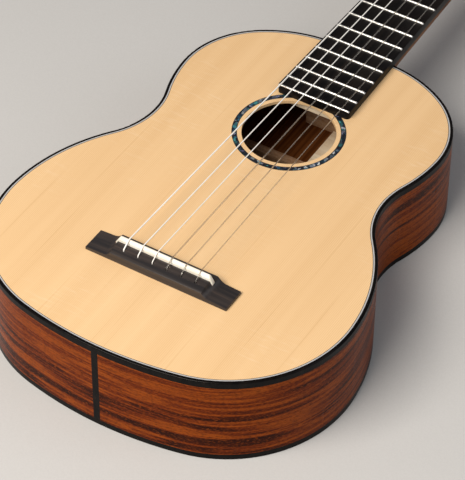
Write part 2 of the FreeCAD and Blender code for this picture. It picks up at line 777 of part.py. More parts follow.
def slot_cutter():
    """The two long slots through the head, in the head's own frame."""
    low, high = -HEAD_THICK - 5, VENEER_THICK + 5
    start = SLOT_START + SLOT_HALF
    end = SLOT_END - SLOT_HALF
    body = box(SLOT_INNER, SLOT_OUTER, start, end, low, high)
    body = body.fuse(Part.makeCylinder(SLOT_HALF, high - low, V(SLOT_X, start, low)))
    body = body.fuse(Part.makeCylinder(SLOT_HALF, high - low, V(SLOT_X, end, low)))
    treble, bass = both_sides(body)
    return treble.fuse(bass)


def roller_bores():
    """The holes for the rollers' journals, in the head's own frame."""
    bores = []
    for station in ROLLER_STATIONS:
        for side in (1, -1):
            start = V(side * (ROLLER_INNER_END - END_GAP), station, ROLLER_DROP)
            end = V(side * (HEAD_HALF + 1), station, ROLLER_DROP)
            bores.append(rod(AXLE_RADIUS + RUNNING_GAP, start, end))
    return Part.makeCompound(bores)


def make_neck():
    """Heel, shaft and slotted head from one piece of wood, with a glued heel tenon."""
    shaft = Part.makeLoft(
        [shaft_section(NECK_END_Y, SHAFT_DEPTH_HEEL), shaft_section(HEAD_Y, SHAFT_DEPTH_NUT)],
        True,
        True,
    )
    heel = Part.makeLoft([heel_section(*values) for values in HEEL_SECTIONS], True, False)
    heel = heel.common(back_layer(HEEL_CAP_THICK, TALL))
    head = prism(head_outline(), -HEAD_THICK, 0).cut(slot_cutter()).cut(roller_bores())
    nut_floor = box(-TALL, TALL, HEAD_Y - 40, HEAD_Y + 5, 0, TALL)
    head = on_head(head).cut(nut_floor)
    neck = shaft.fuse(heel).fuse(head).fuse(tenon_box(0.0))
    neck = neck.cut(on_head(make_screws_local()))
    return neck.removeSplitter()


def make_heel_cap():
    """A thin ebony cap on the end of the heel, flush with the back."""
    z, half, length = HEEL_SECTIONS[-1]
    column = Part.Face(heel_section(z - 10, half, length)).extrude(V(0, 0, 20))
    return column.common(back_layer(0, HEEL_CAP_THICK))


def make_head_veneer():
    """A dark facing on the front of the head with the same slots."""
    veneer = on_head(prism(head_outline(), 0, VENEER_THICK).cut(slot_cutter()))
    return veneer.cut(box(-TALL, TALL, HEAD_Y - 20, HEAD_Y, -TALL, TALL))


# ---------------------------------------------------------------- tuning machines
def make_screws_local():
    """The eight plate screws in the head's own frame."""
    screws = []
    for station in SCREW_STATIONS:
        for side in (1, -1):
            face = PLATE_X + PLATE_THICK
            start = V(side * face, station, ROLLER_DROP)
            tip = V(side * (face - SCREW_LENGTH), station, ROLLER_DROP)
            shank = rod(SCREW_RADIUS, tip, start)
            dome_x = side * (face + SCREW_DOME_HEIGHT - SCREW_DOME_RADIUS)
            dome = Part.makeSphere(SCREW_DOME_RADIUS, V(dome_x, station, ROLLER_DROP))
            puck = rod(SCREW_HEAD_RADIUS, start, V(side * (face + 2), station, ROLLER_DROP))
            screws.append(shank.fuse(dome.common(puck)))
    return Part.makeCompound(screws)


def machine_plate():
    """One treble-side plate with three pairs of bearing ears, in the head's own frame."""
    half = PLATE_HALF_HEIGHT
    x0, x1 = PLATE_X, PLATE_X + PLATE_THICK
    plate = box(x0, x1, PLATE_START, PLATE_END, ROLLER_DROP - half, ROLLER_DROP + half)
    for station in ROLLER_STATIONS:
        worm_y = station + WORM_OFFSET
        for low in (ROLLER_DROP - half, ROLLER_DROP + half - EAR_THICK):
            ear = box(x1, MACHINE_X, worm_y - EAR_HALF, worm_y + EAR_HALF, low, low + EAR_THICK)
            nose = Part.makeCylinder(EAR_HALF, EAR_THICK, V(MACHINE_X, worm_y, low))
            plate = plate.fuse(ear).fuse(nose)
        shaft = V(MACHINE_X, worm_y, ROLLER_DROP - 2 * half)
        end = V(MACHINE_X, worm_y, ROLLER_DROP + 2 * half)
        plate = plate.cut(rod(WORM_SHAFT_RADIUS + RUNNING_GAP, shaft, end))
        start = V(x0 - 1, station, ROLLER_DROP)
        end = V(x1 + 1, station, ROLLER_DROP)
        plate = plate.cut(rod(AXLE_RADIUS + RUNNING_GAP, start, end))
    return plate.cut(make_screws_local()).removeSplitter()


def roller(station, coil_x, coil_radius):
    """A treble-side roller with its gear and the string wound on it, in the head's frame."""
    steps = [
        (BARREL_RADIUS, SLOT_INNER + END_GAP, SLOT_OUTER - END_GAP),
        (AXLE_RADIUS, ROLLER_INNER_END, GEAR_X + GEAR_THICK + JOURNAL_PROUD),
        (GEAR_RADIUS, GEAR_X, GEAR_X + GEAR_THICK),
        (coil_radius, coil_x - COIL_WIDTH / 2, coil_x + COIL_WIDTH / 2),
    ]
    rods = []
    for radius, x0, x1 in steps:
        rods.append(rod(radius, V(x0, station, ROLLER_DROP), V(x1, station, ROLLER_DROP)))
    return rods[0].fuse(rods[1:])


def worm(station):
    """A treble-side worm on its shaft, in the head's frame."""
    y = station + WORM_OFFSET
    half = PLATE_HALF_HEIGHT - EAR_THICK - END_GAP
    low = V(MACHINE_X, y, ROLLER_DROP - half)
    high = V(MACHINE_X, y, ROLLER_DROP + half)
    thread = rod(WORM_RADIUS, low, high)
    top = V(MACHINE_X, y, ROLLER_DROP + PLATE_HALF_HEIGHT + WORM_SHAFT_PROUD)
    bottom = V(MACHINE_X, y, BUTTON_TOP - BUTTON_SHAFT_DEPTH)
    return thread.fuse(rod(WORM_SHAFT_RADIUS, bottom, top))


def button(station):
    """A treble-side flattened oval button on the end of the worm shaft."""
    y = station + WORM_OFFSET
    ball = Part.makeSphere(1.0)
    matrix = FreeCAD.Matrix()
    matrix.scale(BUTTON_HALF_THICK, BUTTON_HALF_WIDTH, BUTTON_LENGTH / 2)
    oval = ball.transformGeometry(matrix)
    oval.translate(V(MACHINE_X, y, BUTTON_TOP - BUTTON_LENGTH / 2))
    collar_top = V(MACHINE_X, y, BUTTON_TOP + COLLAR_TOP)
    collar = rod(COLLAR_RADIUS, V(MACHINE_X, y, BUTTON_TOP - COLLAR_ROOT), collar_top)
    bore_floor = V(MACHINE_X, y, BUTTON_TOP - BUTTON_SHAFT_DEPTH)
    return oval.fuse(collar).cut(rod(WORM_SHAFT_RADIUS, bore_floor, collar_top + Z_AXIS))


def machine_of(index):
    """Side (+1 treble, -1 bass), station and coil place of a string's machine."""
    side = 1 if index >= STRING_COUNT / 2 else -1
    order = index if side < 0 else STRING_COUNT - 1 - index
    return side, ROLLER_STATIONS[order], COIL_PLACES[order]


def coil_radius(index):
    """Outer radius of the string wound on its roller."""
    return BARREL_RADIUS + 2 * STRING_RADII[index]


def make_machines():
    """Both plates with their screws, and one roller, worm and button for each string."""
    plate, twin = both_sides(machine_plate())
    made = {
        "machine_plate_treble": on_head(plate),
        "machine_plate_bass": on_head(twin),
        "plate_screws": on_head(make_screws_local()),
    }
    for index in range(STRING_COUNT):
        side, station, coil_x = machine_of(index)
        number = STRING_COUNT - index
        shapes = {
            "roller_%d" % number: roller(station, coil_x, coil_radius(index)),
            "worm_%d" % number: worm(station),
            "button_%d" % number: button(station),
        }
        for name, shape in shapes.items():
            if side < 0:
                shape = mirror_x(shape)
            made[name] = on_head(shape)
    return made


# ---------------------------------------------------------------- strings
def make_string(index):
    """A string from its bead under the bridge plate, over saddle and nut, to its coil."""
    radius = STRING_RADII[index]
    side, station, coil_x = machine_of(index)
    x_saddle = string_x(index, BRIDGE_SPREAD)
    x_nut = string_x(index, NUT_SPREAD)
    nut_point = V(x_nut, SCALE + NUT_CONTACT, string_height_at_nut(index))
    reach = coil_radius(index) + radius + COIL_GAP
    axis = head_point(side * coil_x, station, ROLLER_DROP)
    away = V(0, axis.y - nut_point.y, axis.z - nut_point.z)
    distance = away.Length
    swing = math.asin(reach / distance)
    slope = math.atan2(away.z, away.y) + swing
    length = distance * math.cos(swing)
    coil_point = V(
        side * coil_x,
        nut_point.y + length * math.cos(slope),
        nut_point.z + length * math.sin(slope),
    )
    points = [
        V(x_saddle, PIN_LINE, BEAD_Z),
        V(x_saddle, PIN_LINE, BRIDGE_CROWN + STRING_HOLE_LIFT),
        V(x_saddle, 0, string_height_at_saddle(index)),
        nut_point,
        coil_point,
    ]
    bead = Part.makeSphere(BEAD_RADIUS, V(x_saddle, PIN_LINE, BEAD_Z))
    return string_pipe(points, radius).fuse(bead)


# ---------------------------------------------------------------- assembly
def make_all():
    """Every node of the guitar in the soundboard's frame."""
    nodes = {}
    nodes.update(make_soundboard())
    nodes.update(make_rosette())
    nodes.update(make_purfling())
    nodes.update(make_bindings())
    nodes.update(make_ribs())
    nodes.update(make_back())
    nodes.update(make_blocks_and_linings())
    nodes.update(make_top_braces())
    nodes.update(make_back_braces())
    nodes["bridge"] = make_bridge()
    nodes["saddle"] = make_saddle()
    nodes.update(make_fingerboard())
    board, dots = make_side_dots(nodes["fingerboard"])
    nodes["fingerboard"] = board
    nodes["side_dots"] = dots
    nodes["nut"] = make_nut()
    nodes["neck"] = make_neck()
    nodes["heel_cap"] = make_heel_cap()
    nodes["head_veneer"] = make_head_veneer()
    nodes.update(make_machines())
    for index in range(STRING_COUNT):
        nodes["string_%d" % (STRING_COUNT - index)] = make_string(index)
    return nodes


def lay_down(shape, shift_y):
    """Tip a shape so that the back lies level at z = 0, then centre it along Y."""
    laid = shape.copy()
    laid.translate(V(0, -TAIL_Y, DEPTH_TAIL))
    laid.rotate(V(0, 0, 0), X_AXIS, -TILT)
    laid.translate(V(0, shift_y, 0))
    return laid


def main():
    """Build every node, lay the guitar on its back and write one file per node."""
    os.makedirs("parts", exist_ok=True)
    nodes = make_all()
    laid = Part.makeCompound([lay_down(shape, 0) for shape in nodes.values()])
    bounds = laid.optimalBoundingBox(False, False)
    shift_y = -(bounds.YMin + bounds.YMax) / 2
    print("saddle line to tail %.3f, tilt %.5f, shift %.4f" % (-TAIL_Y, TILT, shift_y))
    for name, shape in nodes.items():
        lay_down(shape, shift_y).exportStep("parts/%s.step" % name)


main()
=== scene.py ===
import bmesh
import bpy
import json
import math
from mathutils import Matrix, Vector


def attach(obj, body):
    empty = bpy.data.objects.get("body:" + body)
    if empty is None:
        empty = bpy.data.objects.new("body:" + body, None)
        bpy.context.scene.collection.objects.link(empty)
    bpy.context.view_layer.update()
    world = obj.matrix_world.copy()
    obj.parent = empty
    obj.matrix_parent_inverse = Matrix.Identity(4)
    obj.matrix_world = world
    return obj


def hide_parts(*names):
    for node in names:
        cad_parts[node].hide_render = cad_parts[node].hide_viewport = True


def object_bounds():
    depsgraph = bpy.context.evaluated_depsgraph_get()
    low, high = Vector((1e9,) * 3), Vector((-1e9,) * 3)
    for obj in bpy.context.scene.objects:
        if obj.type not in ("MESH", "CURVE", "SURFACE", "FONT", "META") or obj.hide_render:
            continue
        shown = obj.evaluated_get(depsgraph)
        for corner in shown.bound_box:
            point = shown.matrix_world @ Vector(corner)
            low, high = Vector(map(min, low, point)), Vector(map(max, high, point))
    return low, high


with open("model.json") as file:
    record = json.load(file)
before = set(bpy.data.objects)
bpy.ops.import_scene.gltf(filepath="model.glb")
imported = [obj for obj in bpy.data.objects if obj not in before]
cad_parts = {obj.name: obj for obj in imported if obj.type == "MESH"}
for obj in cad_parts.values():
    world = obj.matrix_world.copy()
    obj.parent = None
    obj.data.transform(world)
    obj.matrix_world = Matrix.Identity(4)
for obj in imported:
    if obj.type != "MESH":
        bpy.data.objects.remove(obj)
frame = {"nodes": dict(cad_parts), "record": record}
CAD_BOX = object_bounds()
NODES = frame["nodes"]

# A small nylon-string guitar lying on its back. This script gives each CAD piece its material, and
# rebuilds the pieces that need finer shapes from the CAD's own driving dimensions.
#
# New pieces are drawn in millimetres in the soundboard's own frame: +X towards the treble side,
# +Y towards the head, +Z out of the top, y = 0 at the saddle and z = 0 on the soundboard.
# TO_CAD carries that frame to the frame of the CAD, in metres. HEAD does the same for the head's
# tilted frame, whose y = 0 is at the nut's far side and whose z = 0 is the head's face.

# ---------------------------------------------------------------- driving dimensions
# Body
TAIL_Y = -87.1
DEPTH_TAIL = 75.0
TOP_SLOPE = math.radians(0.95795)    # the top falls this much towards the neck
HOLE_Y = 165.6
BODY_MIDDLE = (0, 92.0, -36.0)       # a point in the hollow, which the inner faces look at

# Fingerboard, strings and bridge
SCALE = 535.0
FRET_COUNT = 17
BRIDGE_SPREAD = 57.8     # from string 1 to string 6
NUT_SPREAD = 39.5
STRING_RADII = {1: 0.36, 2: 0.41, 3: 0.51, 4: 0.38, 5: 0.45, 6: 0.54}
BOARD_THICK = 6.5
BOARD_END = 199.2
BOARD_END_HALF = 30.3
NUT_HALF = 22.5
NUT_THICK = 5.0
FRET_WIDTH = 1.8
FRET_HEIGHT = 1.1
FRET_END_INSET = 0.25
FRET_BEVEL = ((0.0, 0.05), (0.3, 0.45), (0.7, 0.85), (1.2, 1.0))    # inset, share of the height
FRET_CROWN = 0.8         # below 1 the crown is broader than half an ellipse
FRET_SIDES = 12
NUT_STRING_GAP = 0.9     # from the frets' crowns up to a string, at the nut
NUT_CONTACT = 0.4        # past the nut's near side
PIN_LINE = -6.9          # where the strings come up through the bridge
BRIDGE_CROWN = 8.4
SADDLE_TOP = 12.3
PIN_CLEARANCE = 0.35     # of a string's middle, over the bridge's crown
SADDLE_CLEARANCE = 0.03
ROLLER_CLEARANCE = 0.06
STRING_BEND = 1.3        # each side of a corner
BEND_STEPS = 5
WRAP_STEPS = 40
WRAP_STEP_ANGLE = math.radians(7.5)
TURN_SPACING = 1.05      # of a coil, in string diameters
FIRST_SPACING = 1.12     # from the taut string's turn to the next, in string diameters
COIL_START = 2.0         # radians
COIL_STEPS_PER_TURN = 32
BEAD_Z = -6.42
BEAD_RADIUS = 1.9
BEAD_STEPS = 12
POLE_SHARE = 0.2         # of a step, left open at each pole for a small flat

# Head and machines
HEAD_ANGLE = math.radians(11.0)
HEAD_Y = SCALE + NUT_THICK
STATIONS = (42.0, 77.0, 112.0)       # of the rollers, along the head
COIL_PLACES = (18.9, 15.4, 12.2)     # of the coils, out from the middle of the head
COIL_WIDTH = 5.0
ROLLER_DROP = -8.0
BARREL_RADIUS = 4.2
BARREL_ENDS = (7.35, 22.15)
BARREL_RIM = ((0.15, 0.0), (0.0, 0.2), (0.0, 1.0), (0.25, 1.4))     # cut, distance from the end
JOURNAL_RADIUS = 3.0
JOURNAL_CHAMFER = 0.3
JOURNAL_START = 3.2      # out from the middle of the head
GEAR_ENDS = (35.2, 39.2)
ROLLER_CAP = ((3.4, -0.2), (3.4, 0.0), (3.1, 0.35), (2.0, 0.68), (0.4, 0.8))    # radius, rise
ROLLER_SLOT = (0.9, 5.6, 0.7)
MACHINE_X = 37.2         # of the worms and buttons
WORM_OFFSET = 8.9        # from a roller's axis to its worm's
WORM_HALF = 4.85
WORM_SHAFT_RADIUS = 1.5
WORM_SHAFT_TOP = -0.6
THREAD_RUN_OUT = 0.5     # over which the thread fades at each end
SHAFT_IN_BUTTON = 4.0
BUTTON_TOP = -20.0
BUTTON_LENGTH = 14.0
BUTTON_HALF_THICK = 4.5
BUTTON_HALF_WIDTH = 7.5
BUTTON_SHOULDER = 0.6    # the swell starts this far up the collar
BUTTON_LEAN = 0.85       # below 1 the widest place is nearer to the collar
BUTTON_FULLNESS = 0.55   # below 1 the outline is fuller than a sine
BUTTON_CLOSING = 9       # the tip closes over the last ninth of the length
BUTTON_TIP_SHARE = 0.02  # of the ring before it, which the last ring keeps
BUTTON_ROWS = 30
BUTTON_SIDES = 40
COLLAR_RADIUS = 2.4
COLLAR_TOP = 1.4
COLLAR_CHAMFER = 0.3
SCREW_STATIONS = (28.5, 62.5, 97.5, 129.0)
PLATE_FACE = 34.5
SCREW_HEAD_RADIUS = 2.5
SCREW_CHAMFER = 0.1
SCREW_RIM = 0.15
SCREW_STEPS = 6
SCREW_FLAT_SHARE = 0.3   # of a step, left open on top for a small flat
SCREW_DOME = 1.1
SCREW_SLOT = (1.1, 6.0, 0.6)

# Gear and worm: 14 teeth in mesh with a single right-handed thread
TEETH = 14
STEPS_PER_TOOTH = 14
GEAR_ROWS = 6
WORM_ROWS = 84
WORM_SIDES = 44
GEAR_PITCH_RADIUS = 6.6
WORM_PITCH_RADIUS = WORM_OFFSET - GEAR_PITCH_RADIUS
ADDENDUM = 0.3
DEDENDUM = 0.4
TOOTH_SHARE = 0.92       # of its full width; the rest is backlash
FLANK_STEEPNESS = 9.0
LEAD = 2 * math.pi * GEAR_PITCH_RADIUS / TEETH
LEAD_SLOPE = LEAD / (2 * math.pi * WORM_PITCH_RADIUS)

# Edges: sharper than SHARP_ANGLE keeps a crease, sharper than EASED_ANGLE may be eased
SHARP_ANGLE = math.radians(34)
EASED_ANGLE = math.radians(35)
FLAT_ANGLE = math.radians(0.5)    # faces that meet flatter than this are one face
SAME_POINT = 0.000001             # points nearer than this, in metres, are one point

RINGS_PER_METRE = 800             # growth rings across the soundboard
WIRE_PITCH = 0.00026              # of the winding wire, in metres
TILES_PER_RADIAN = 14             # of the rosette's shell

# Camera and light: the camera's points are in the soundboard's frame, the rest in the CAD frame
CAMERA_EYE = (672.6, -1017.1, 1206.4)
CAMERA_TARGET = (24.3, 48.4, 0)
CAMERA_LENS = 188.55
CAMERA_ROLL = math.radians(-0.257)
LIGHT_TARGET = (0, -0.2, 0.05)
WARM_WHITE = (1.0, 0.93, 0.84)
COOL_WHITE = (0.96, 0.97, 1.0)
SKY_STRENGTH = 0.2
FLOOR_HALF = 20.0
FLOOR_DROP = 0.0004

TO_CAD = (
    Matrix.Translation((0, CAD_BOX[0][1], 0))
    @ Matrix.Rotation(-TOP_SLOPE, 4, "X")
    @ Matrix.Scale(0.001, 4)
    @ Matrix.Translation((0, -TAIL_Y, DEPTH_TAIL))
)
HEAD = TO_CAD @ Matrix.Translation((0, HEAD_Y, 0)) @ Matrix.Rotation(-HEAD_ANGLE, 4, "X")


# ---------------------------------------------------------------- camera, lights and floor
def aim(thing, place, target):
    """Stand a camera or a light at a place and point it at a target."""
    thing.location = place
    thing.rotation_euler = (target - place).to_track_quat("-Z", "Y").to_euler()
    bpy.context.scene.collection.objects.link(thing)


def add_camera():
    """A long lens above the tail's treble side, tipped a quarter of a degree."""
    data = bpy.data.cameras.new("camera")
    data.lens = CAMERA_LENS
    data.sensor_width = 36.0
    data.clip_start = 0.05
    camera = bpy.data.objects.new("camera", data)
    aim(camera, TO_CAD @ Vector(CAMERA_EYE), TO_CAD @ Vector(CAMERA_TARGET))
    camera.rotation_euler.rotate_axis("Z", CAMERA_ROLL)
    bpy.context.scene.camera = camera


def add_softbox(name, place, size, watts, colour):
    """A rectangular area light that looks at the guitar's body."""
    data = bpy.data.lights.new(name, "AREA")
    data.shape = "RECTANGLE"
    data.size, data.size_y = size
    data.energy = watts
    data.color = colour
    aim(bpy.data.objects.new(name, data), Vector(place), Vector(LIGHT_TARGET))


def add_lights():
    """Soft light from above the tail, a weaker one from the treble side, and a pale sky."""
    add_softbox("key", (-0.32, -1.4, 1.6), (1.4, 1.1), 52.5, WARM_WHITE)
    add_softbox("fill", (1.5, 0.1, 1.3), (1.0, 1.0), 5, COOL_WHITE)
    world = bpy.data.worlds.new("studio")
    world.use_nodes = True
    sky = world.node_tree.nodes["Background"].inputs
    sky["Color"].default_value = (*COOL_WHITE, 1)
    sky["Strength"].default_value = SKY_STRENGTH
    bpy.context.scene.world = world
    bpy.context.scene.view_settings.view_transform = "Standard"


def add_floor():
    """A plain pale floor just under the guitar."""
    mesh = bpy.data.meshes.new("floor")
    corners = [(-1, -1), (1, -1), (1, 1), (-1, 1)]
    points = [(x * FLOOR_HALF, y * FLOOR_HALF, -FLOOR_DROP) for x, y in corners]
    mesh.from_pydata(points, [], [(0, 1, 2, 3)])
    mesh.materials.append(floor_paper("floor_paper"))
    floor = bpy.data.objects.new("floor", mesh)
    bpy.context.scene.collection.objects.link(floor)


# ---------------------------------------------------------------- materials
class Shader:
    """A material being wired. Each method adds a node and returns its output."""

    def __init__(self, name):
        self.material = bpy.data.materials.new(name)
        self.material.use_nodes = True
        self.nodes = self.material.node_tree.nodes
        self.links = self.material.node_tree.links
        self.surface = next(node for node in self.nodes if node.type == "BSDF_PRINCIPLED")
        own = self.nodes.new("ShaderNodeTexCoord").outputs
        self.object_place = own["Object"]
        self.object_normal = own["Normal"]

    def feed(self, socket, value):
        """Wire an output into a socket, or set the socket's own value."""
        if isinstance(value, bpy.types.NodeSocket):
            self.links.new(value, socket)
        elif isinstance(value, tuple) and len(value) == 3 and len(socket.default_value) == 4:
            socket.default_value = (*value, 1.0)
        else:
            socket.default_value = value

    def place(self, x, y, z, mirrored=False):
        """The object's own coordinates, stretched; mirrored makes both halves alike."""
        vector = self.object_place
        if mirrored:
            parts = self.split(vector)
            vector = self.join(self.calc("ABSOLUTE", parts[0]), parts[1], parts[2])
        mapping = self.nodes.new("ShaderNodeMapping")
        mapping.inputs["Scale"].default_value = (x, y, z)
        self.links.new(vector, mapping.inputs["Vector"])
        return mapping.outputs["Vector"]

    def split(self, vector):
        """The X, Y and Z of a vector."""
        node = self.nodes.new("ShaderNodeSeparateXYZ")
        self.links.new(vector, node.inputs[0])
        return list(node.outputs)

    def join(self, x, y, z):
        """A vector from its X, Y and Z."""
        node = self.nodes.new("ShaderNodeCombineXYZ")
        for socket, value in zip(node.inputs, (x, y, z)):
            self.feed(socket, value)
        return node.outputs[0]

    def calc(self, operation, *values):
        """Arithmetic on numbers."""
        node = self.nodes.new("ShaderNodeMath")
        node.operation = operation
        for socket, value in zip(node.inputs, values):
            self.feed(socket, value)
        return node.outputs[0]

    def faces(self, target):
        """1 where the surface looks towards a point of the CAD frame, and 0 where it looks away."""
        towards = self.nodes.new("ShaderNodeVectorMath")
        towards.operation = "SUBTRACT"
        towards.inputs[0].default_value = target
        self.links.new(self.object_place, towards.inputs[1])
        likeness = self.nodes.new("ShaderNodeVectorMath")
        likeness.operation = "DOT_PRODUCT"
        self.links.new(towards.outputs["Vector"], likeness.inputs[0])
        self.links.new(self.object_normal, likeness.inputs[1])
        return self.calc("GREATER_THAN", likeness.outputs["Value"], 0.0)

    def noise(self, vector, detail=3.0, distortion=0.0):
        """Fractal noise from 0 to 1."""
        node = self.nodes.new("ShaderNodeTexNoise")
        self.links.new(vector, node.inputs["Vector"])
        node.inputs["Scale"].default_value = 1.0
        node.inputs["Detail"].default_value = detail
        node.inputs["Roughness"].default_value = 0.5
        node.inputs["Distortion"].default_value = distortion
        return node.outputs["Fac"]

    def cells(self, vector, feature):
        """Voronoi cells: the feature's distance and the cell's own random colour, if it has one."""
        node = self.nodes.new("ShaderNodeTexVoronoi")
        node.feature = feature
        self.links.new(vector, node.inputs["Vector"])
        node.inputs["Scale"].default_value = 1.0
        node.inputs["Randomness"].default_value = 0.9
        return node.outputs["Distance"], node.outputs.get("Color")

    def ramp(self, factor, stops):
        """A smooth colour ramp from (position, colour) stops."""
        node = self.nodes.new("ShaderNodeValToRGB")
        node.color_ramp.interpolation = "EASE"
        elements = node.color_ramp.elements
        while len(elements) < len(stops):
            elements.new(0.5)
        for element, (position, colour) in zip(elements, stops):
            element.position = position
            element.color = (*colour, 1.0)
        self.links.new(factor, node.inputs[0])
        return node.outputs["Color"]

    def between(self, factor, low, high, to_low=0.0, to_high=1.0):
        """A number carried from one range to another, held inside the new one."""
        node = self.nodes.new("ShaderNodeMapRange")
        for socket, value in zip(node.inputs, (factor, low, high, to_low, to_high)):
            self.feed(socket, value)
        return node.outputs[0]

    def mix(self, factor, first, second):
        """Two colours mixed."""
        node = self.nodes.new("ShaderNodeMix")
        node.data_type = "RGBA"
        node.blend_type = "MIX"
        self.feed(node.inputs[0], factor)
        self.feed(node.inputs[6], first)
        self.feed(node.inputs[7], second)
        return node.outputs[2]

    def bump(self, height, distance, strength):
        """A bumpy normal: distance is the relief in metres."""
        node = self.nodes.new("ShaderNodeBump")
        node.inputs["Strength"].default_value = strength
        node.inputs["Distance"].default_value = distance
        self.links.new(height, node.inputs["Height"])
        return node.outputs["Normal"]

    def surface_is(self, **values):
        """Set the surface's sockets, named with underscores for spaces."""
        for name, value in values.items():
            self.feed(self.surface.inputs[name.replace("_", " ")], value)
        return self.material


def floor_paper(name):
    """Matt pale paper with short fibres."""
    shader = Shader(name)
    fibres = shader.noise(shader.place(900, 900, 900), detail=3)
    tone = shader.ramp(fibres, [(0.3, (0.53, 0.53, 0.53)), (0.7, (0.55, 0.55, 0.55))])
    return shader.surface_is(Base_Color=tone, Roughness=0.9)


def tint(first, second, share):
    """A colour part of the way from one to another."""
    return tuple(a + (b - a) * share for a, b in zip(first, second))


def spruce(name, light, dark, coat):
    """Quartersawn spruce with its grain along Y: close growth rings, silk and broad streaks."""
    shader = Shader(name)
    across = shader.split(shader.place(1, 1, 1, mirrored=True))[0]
    drift = shader.noise(shader.place(14, 1.6, 14, mirrored=True), detail=2)
    even_rings = shader.calc("MULTIPLY", across, RINGS_PER_METRE)
    rings = shader.calc("ADD", even_rings, shader.calc("MULTIPLY", drift, 9))
    late_wood = shader.calc("POWER", shader.calc("FRACT", rings), 3.0)
    weight = shader.between(shader.noise(shader.place(90, 3, 90, mirrored=True)), 0.3, 0.7, 0.2, 0.65)
    line = shader.calc("MULTIPLY", late_wood, weight)
    streak = shader.between(shader.noise(shader.place(55, 1.1, 55, mirrored=True), detail=3), 0.3, 0.7)
    silk_field = shader.noise(shader.place(70, 420, 70, mirrored=True), detail=3, distortion=0.4)
    patch = shader.between(shader.noise(shader.place(18, 12, 18)), 0.45, 0.65)
    silk = shader.calc("MULTIPLY", shader.between(silk_field, 0.52, 0.72), patch)
    ground = shader.mix(streak, light, tint(light, dark, 0.35))
    dark_rings = shader.noise(shader.place(430, 1.2, 430, mirrored=True), detail=1)
    sparse = shader.between(dark_rings, 0.66, 0.78, 0, 0.24)
    ringed = shader.mix(shader.calc("ADD", line, sparse), ground, dark)
    pale = tint(light, (1.0, 0.95, 0.85), 0.35)
    colour = shader.mix(shader.calc("MULTIPLY", silk, 0.22), ringed, pale)
    smudge = shader.noise(shader.place(22, 22, 22), detail=4)
    return shader.surface_is(
        Base_Color=colour,
        Roughness=shader.between(smudge, 0.3, 0.7, 0.33, 0.42),
        Normal=shader.bump(line, 0.00003, 0.4),
        Coat_Weight=coat,
        Coat_Roughness=0.12,
    )


def ribbon_wood(name, across, light, middle, dark, coat, gloss=0.25, bare=None):
    """Ribbon-striped hardwood with open pores: across is the axis that its stripes are laid over.

    With two bare colours, the faces that look into the body are bare wood without lacquer.
    """
    shader = Shader(name)

    def grain(along, over, detail, distortion=0.0):
        stretch = [along, along, along]
        stretch["XYZ".index(across)] = over
        return shader.noise(shader.place(*stretch, mirrored=True), detail=detail, distortion=distortion)

    ribbons = grain(4.5, 95, 4, 0.6)
    fine = grain(9, 520, 2)
    fleck = grain(420, 1500, 3)
    pores = shader.between(grain(190, 2400, 2), 0.58, 0.7)
    figure = grain(48, 22, 3)
    broad = shader.calc("MULTIPLY", ribbons, 0.8)
    streak = shader.calc("ADD", broad, shader.calc("MULTIPLY", fine, 0.2))
    base = shader.ramp(streak, [
        (0.385, dark), (0.44, middle), (0.49, light), (0.545, middle), (0.6, dark),
    ])
    shimmer = shader.mix(shader.between(figure, 0.35, 0.65, 0.0, 0.25), base, middle)
    shaded = shader.mix(shader.between(fleck, 0.52, 0.68, 0.0, 0.55), shimmer, dark)
    flecked = shader.mix(shader.between(fleck, 0.46, 0.32, 0.0, 0.55), shaded, light)
    colour = shader.mix(shader.calc("MULTIPLY", pores, 0.5), flecked, tint(dark, (0, 0, 0), 0.4))
    smudge = shader.noise(shader.place(25, 25, 25), detail=3)
    polish = shader.between(smudge, 0.3, 0.7, gloss, gloss + 0.12)
    if bare:
        inward = shader.faces(TO_CAD @ Vector(BODY_MIDDLE))
        colour = shader.mix(inward, colour, shader.ramp(fine, [(0.35, bare[0]), (0.65, bare[1])]))
        polish = shader.between(inward, 0.0, 1.0, polish, 0.85)
    return shader.surface_is(
        Base_Color=colour,
        Roughness=polish,
        Normal=shader.bump(shader.calc("SUBTRACT", 1.0, pores), 0.00004, 0.5),
        Specular_IOR_Level=0.06,
        Coat_Weight=coat,
        Coat_Roughness=0.08,
    )


def ebony(name, roughness, coat, lift=1.0, specular=0.3, along="Y"):
    """Near-black wood with faint brown streaks along an axis and fine pores; lift brightens it."""
    shader = Shader(name)
    stretch = (7, 260, 160) if along == "X" else (260, 7, 160)
    streak = shader.noise(shader.place(*stretch), detail=4, distortion=0.3)
    colour = shader.ramp(streak, [
        (0.38, (0.008 * lift, 0.007 * lift, 0.0075 * lift)),
        (0.58, (0.016 * lift, 0.0125 * lift, 0.0115 * lift)),
        (0.74, (0.032 * lift, 0.022 * lift, 0.017 * lift)),
    ])
    pores = shader.between(shader.noise(shader.place(2600, 170, 2600), detail=2), 0.6, 0.72)
    wear = shader.noise(shader.place(35, 35, 35), detail=4)
    return shader.surface_is(
        Base_Color=colour,
        Roughness=shader.between(wear, 0.3, 0.7, roughness - 0.06, roughness + 0.08),
        Normal=shader.bump(shader.calc("SUBTRACT", 1.0, pores), 0.00003, 0.4),
        Specular_IOR_Level=specular,
        Coat_Weight=coat,
        Coat_Roughness=0.06,
    )


def plain_wood(name, light, dark):
    """Unfinished wood inside the body, matt, with its grain along X."""
    shader = Shader(name)
    grain = shader.noise(shader.place(9, 300, 160), detail=4, distortion=0.2)
    fuzz = shader.noise(shader.place(700, 700, 700), detail=2)
    colour = shader.ramp(grain, [(0.35, light), (0.62, dark)])
    dusty = shader.mix(shader.between(fuzz, 0.4, 0.7, 0.0, 0.25), colour, tint(light, (1, 1, 1), 0.3))
    return shader.surface_is(
        Base_Color=dusty,
        Roughness=shader.between(grain, 0.3, 0.7, 0.75, 0.9),
        Normal=shader.bump(grain, 0.00006, 0.5),
    )


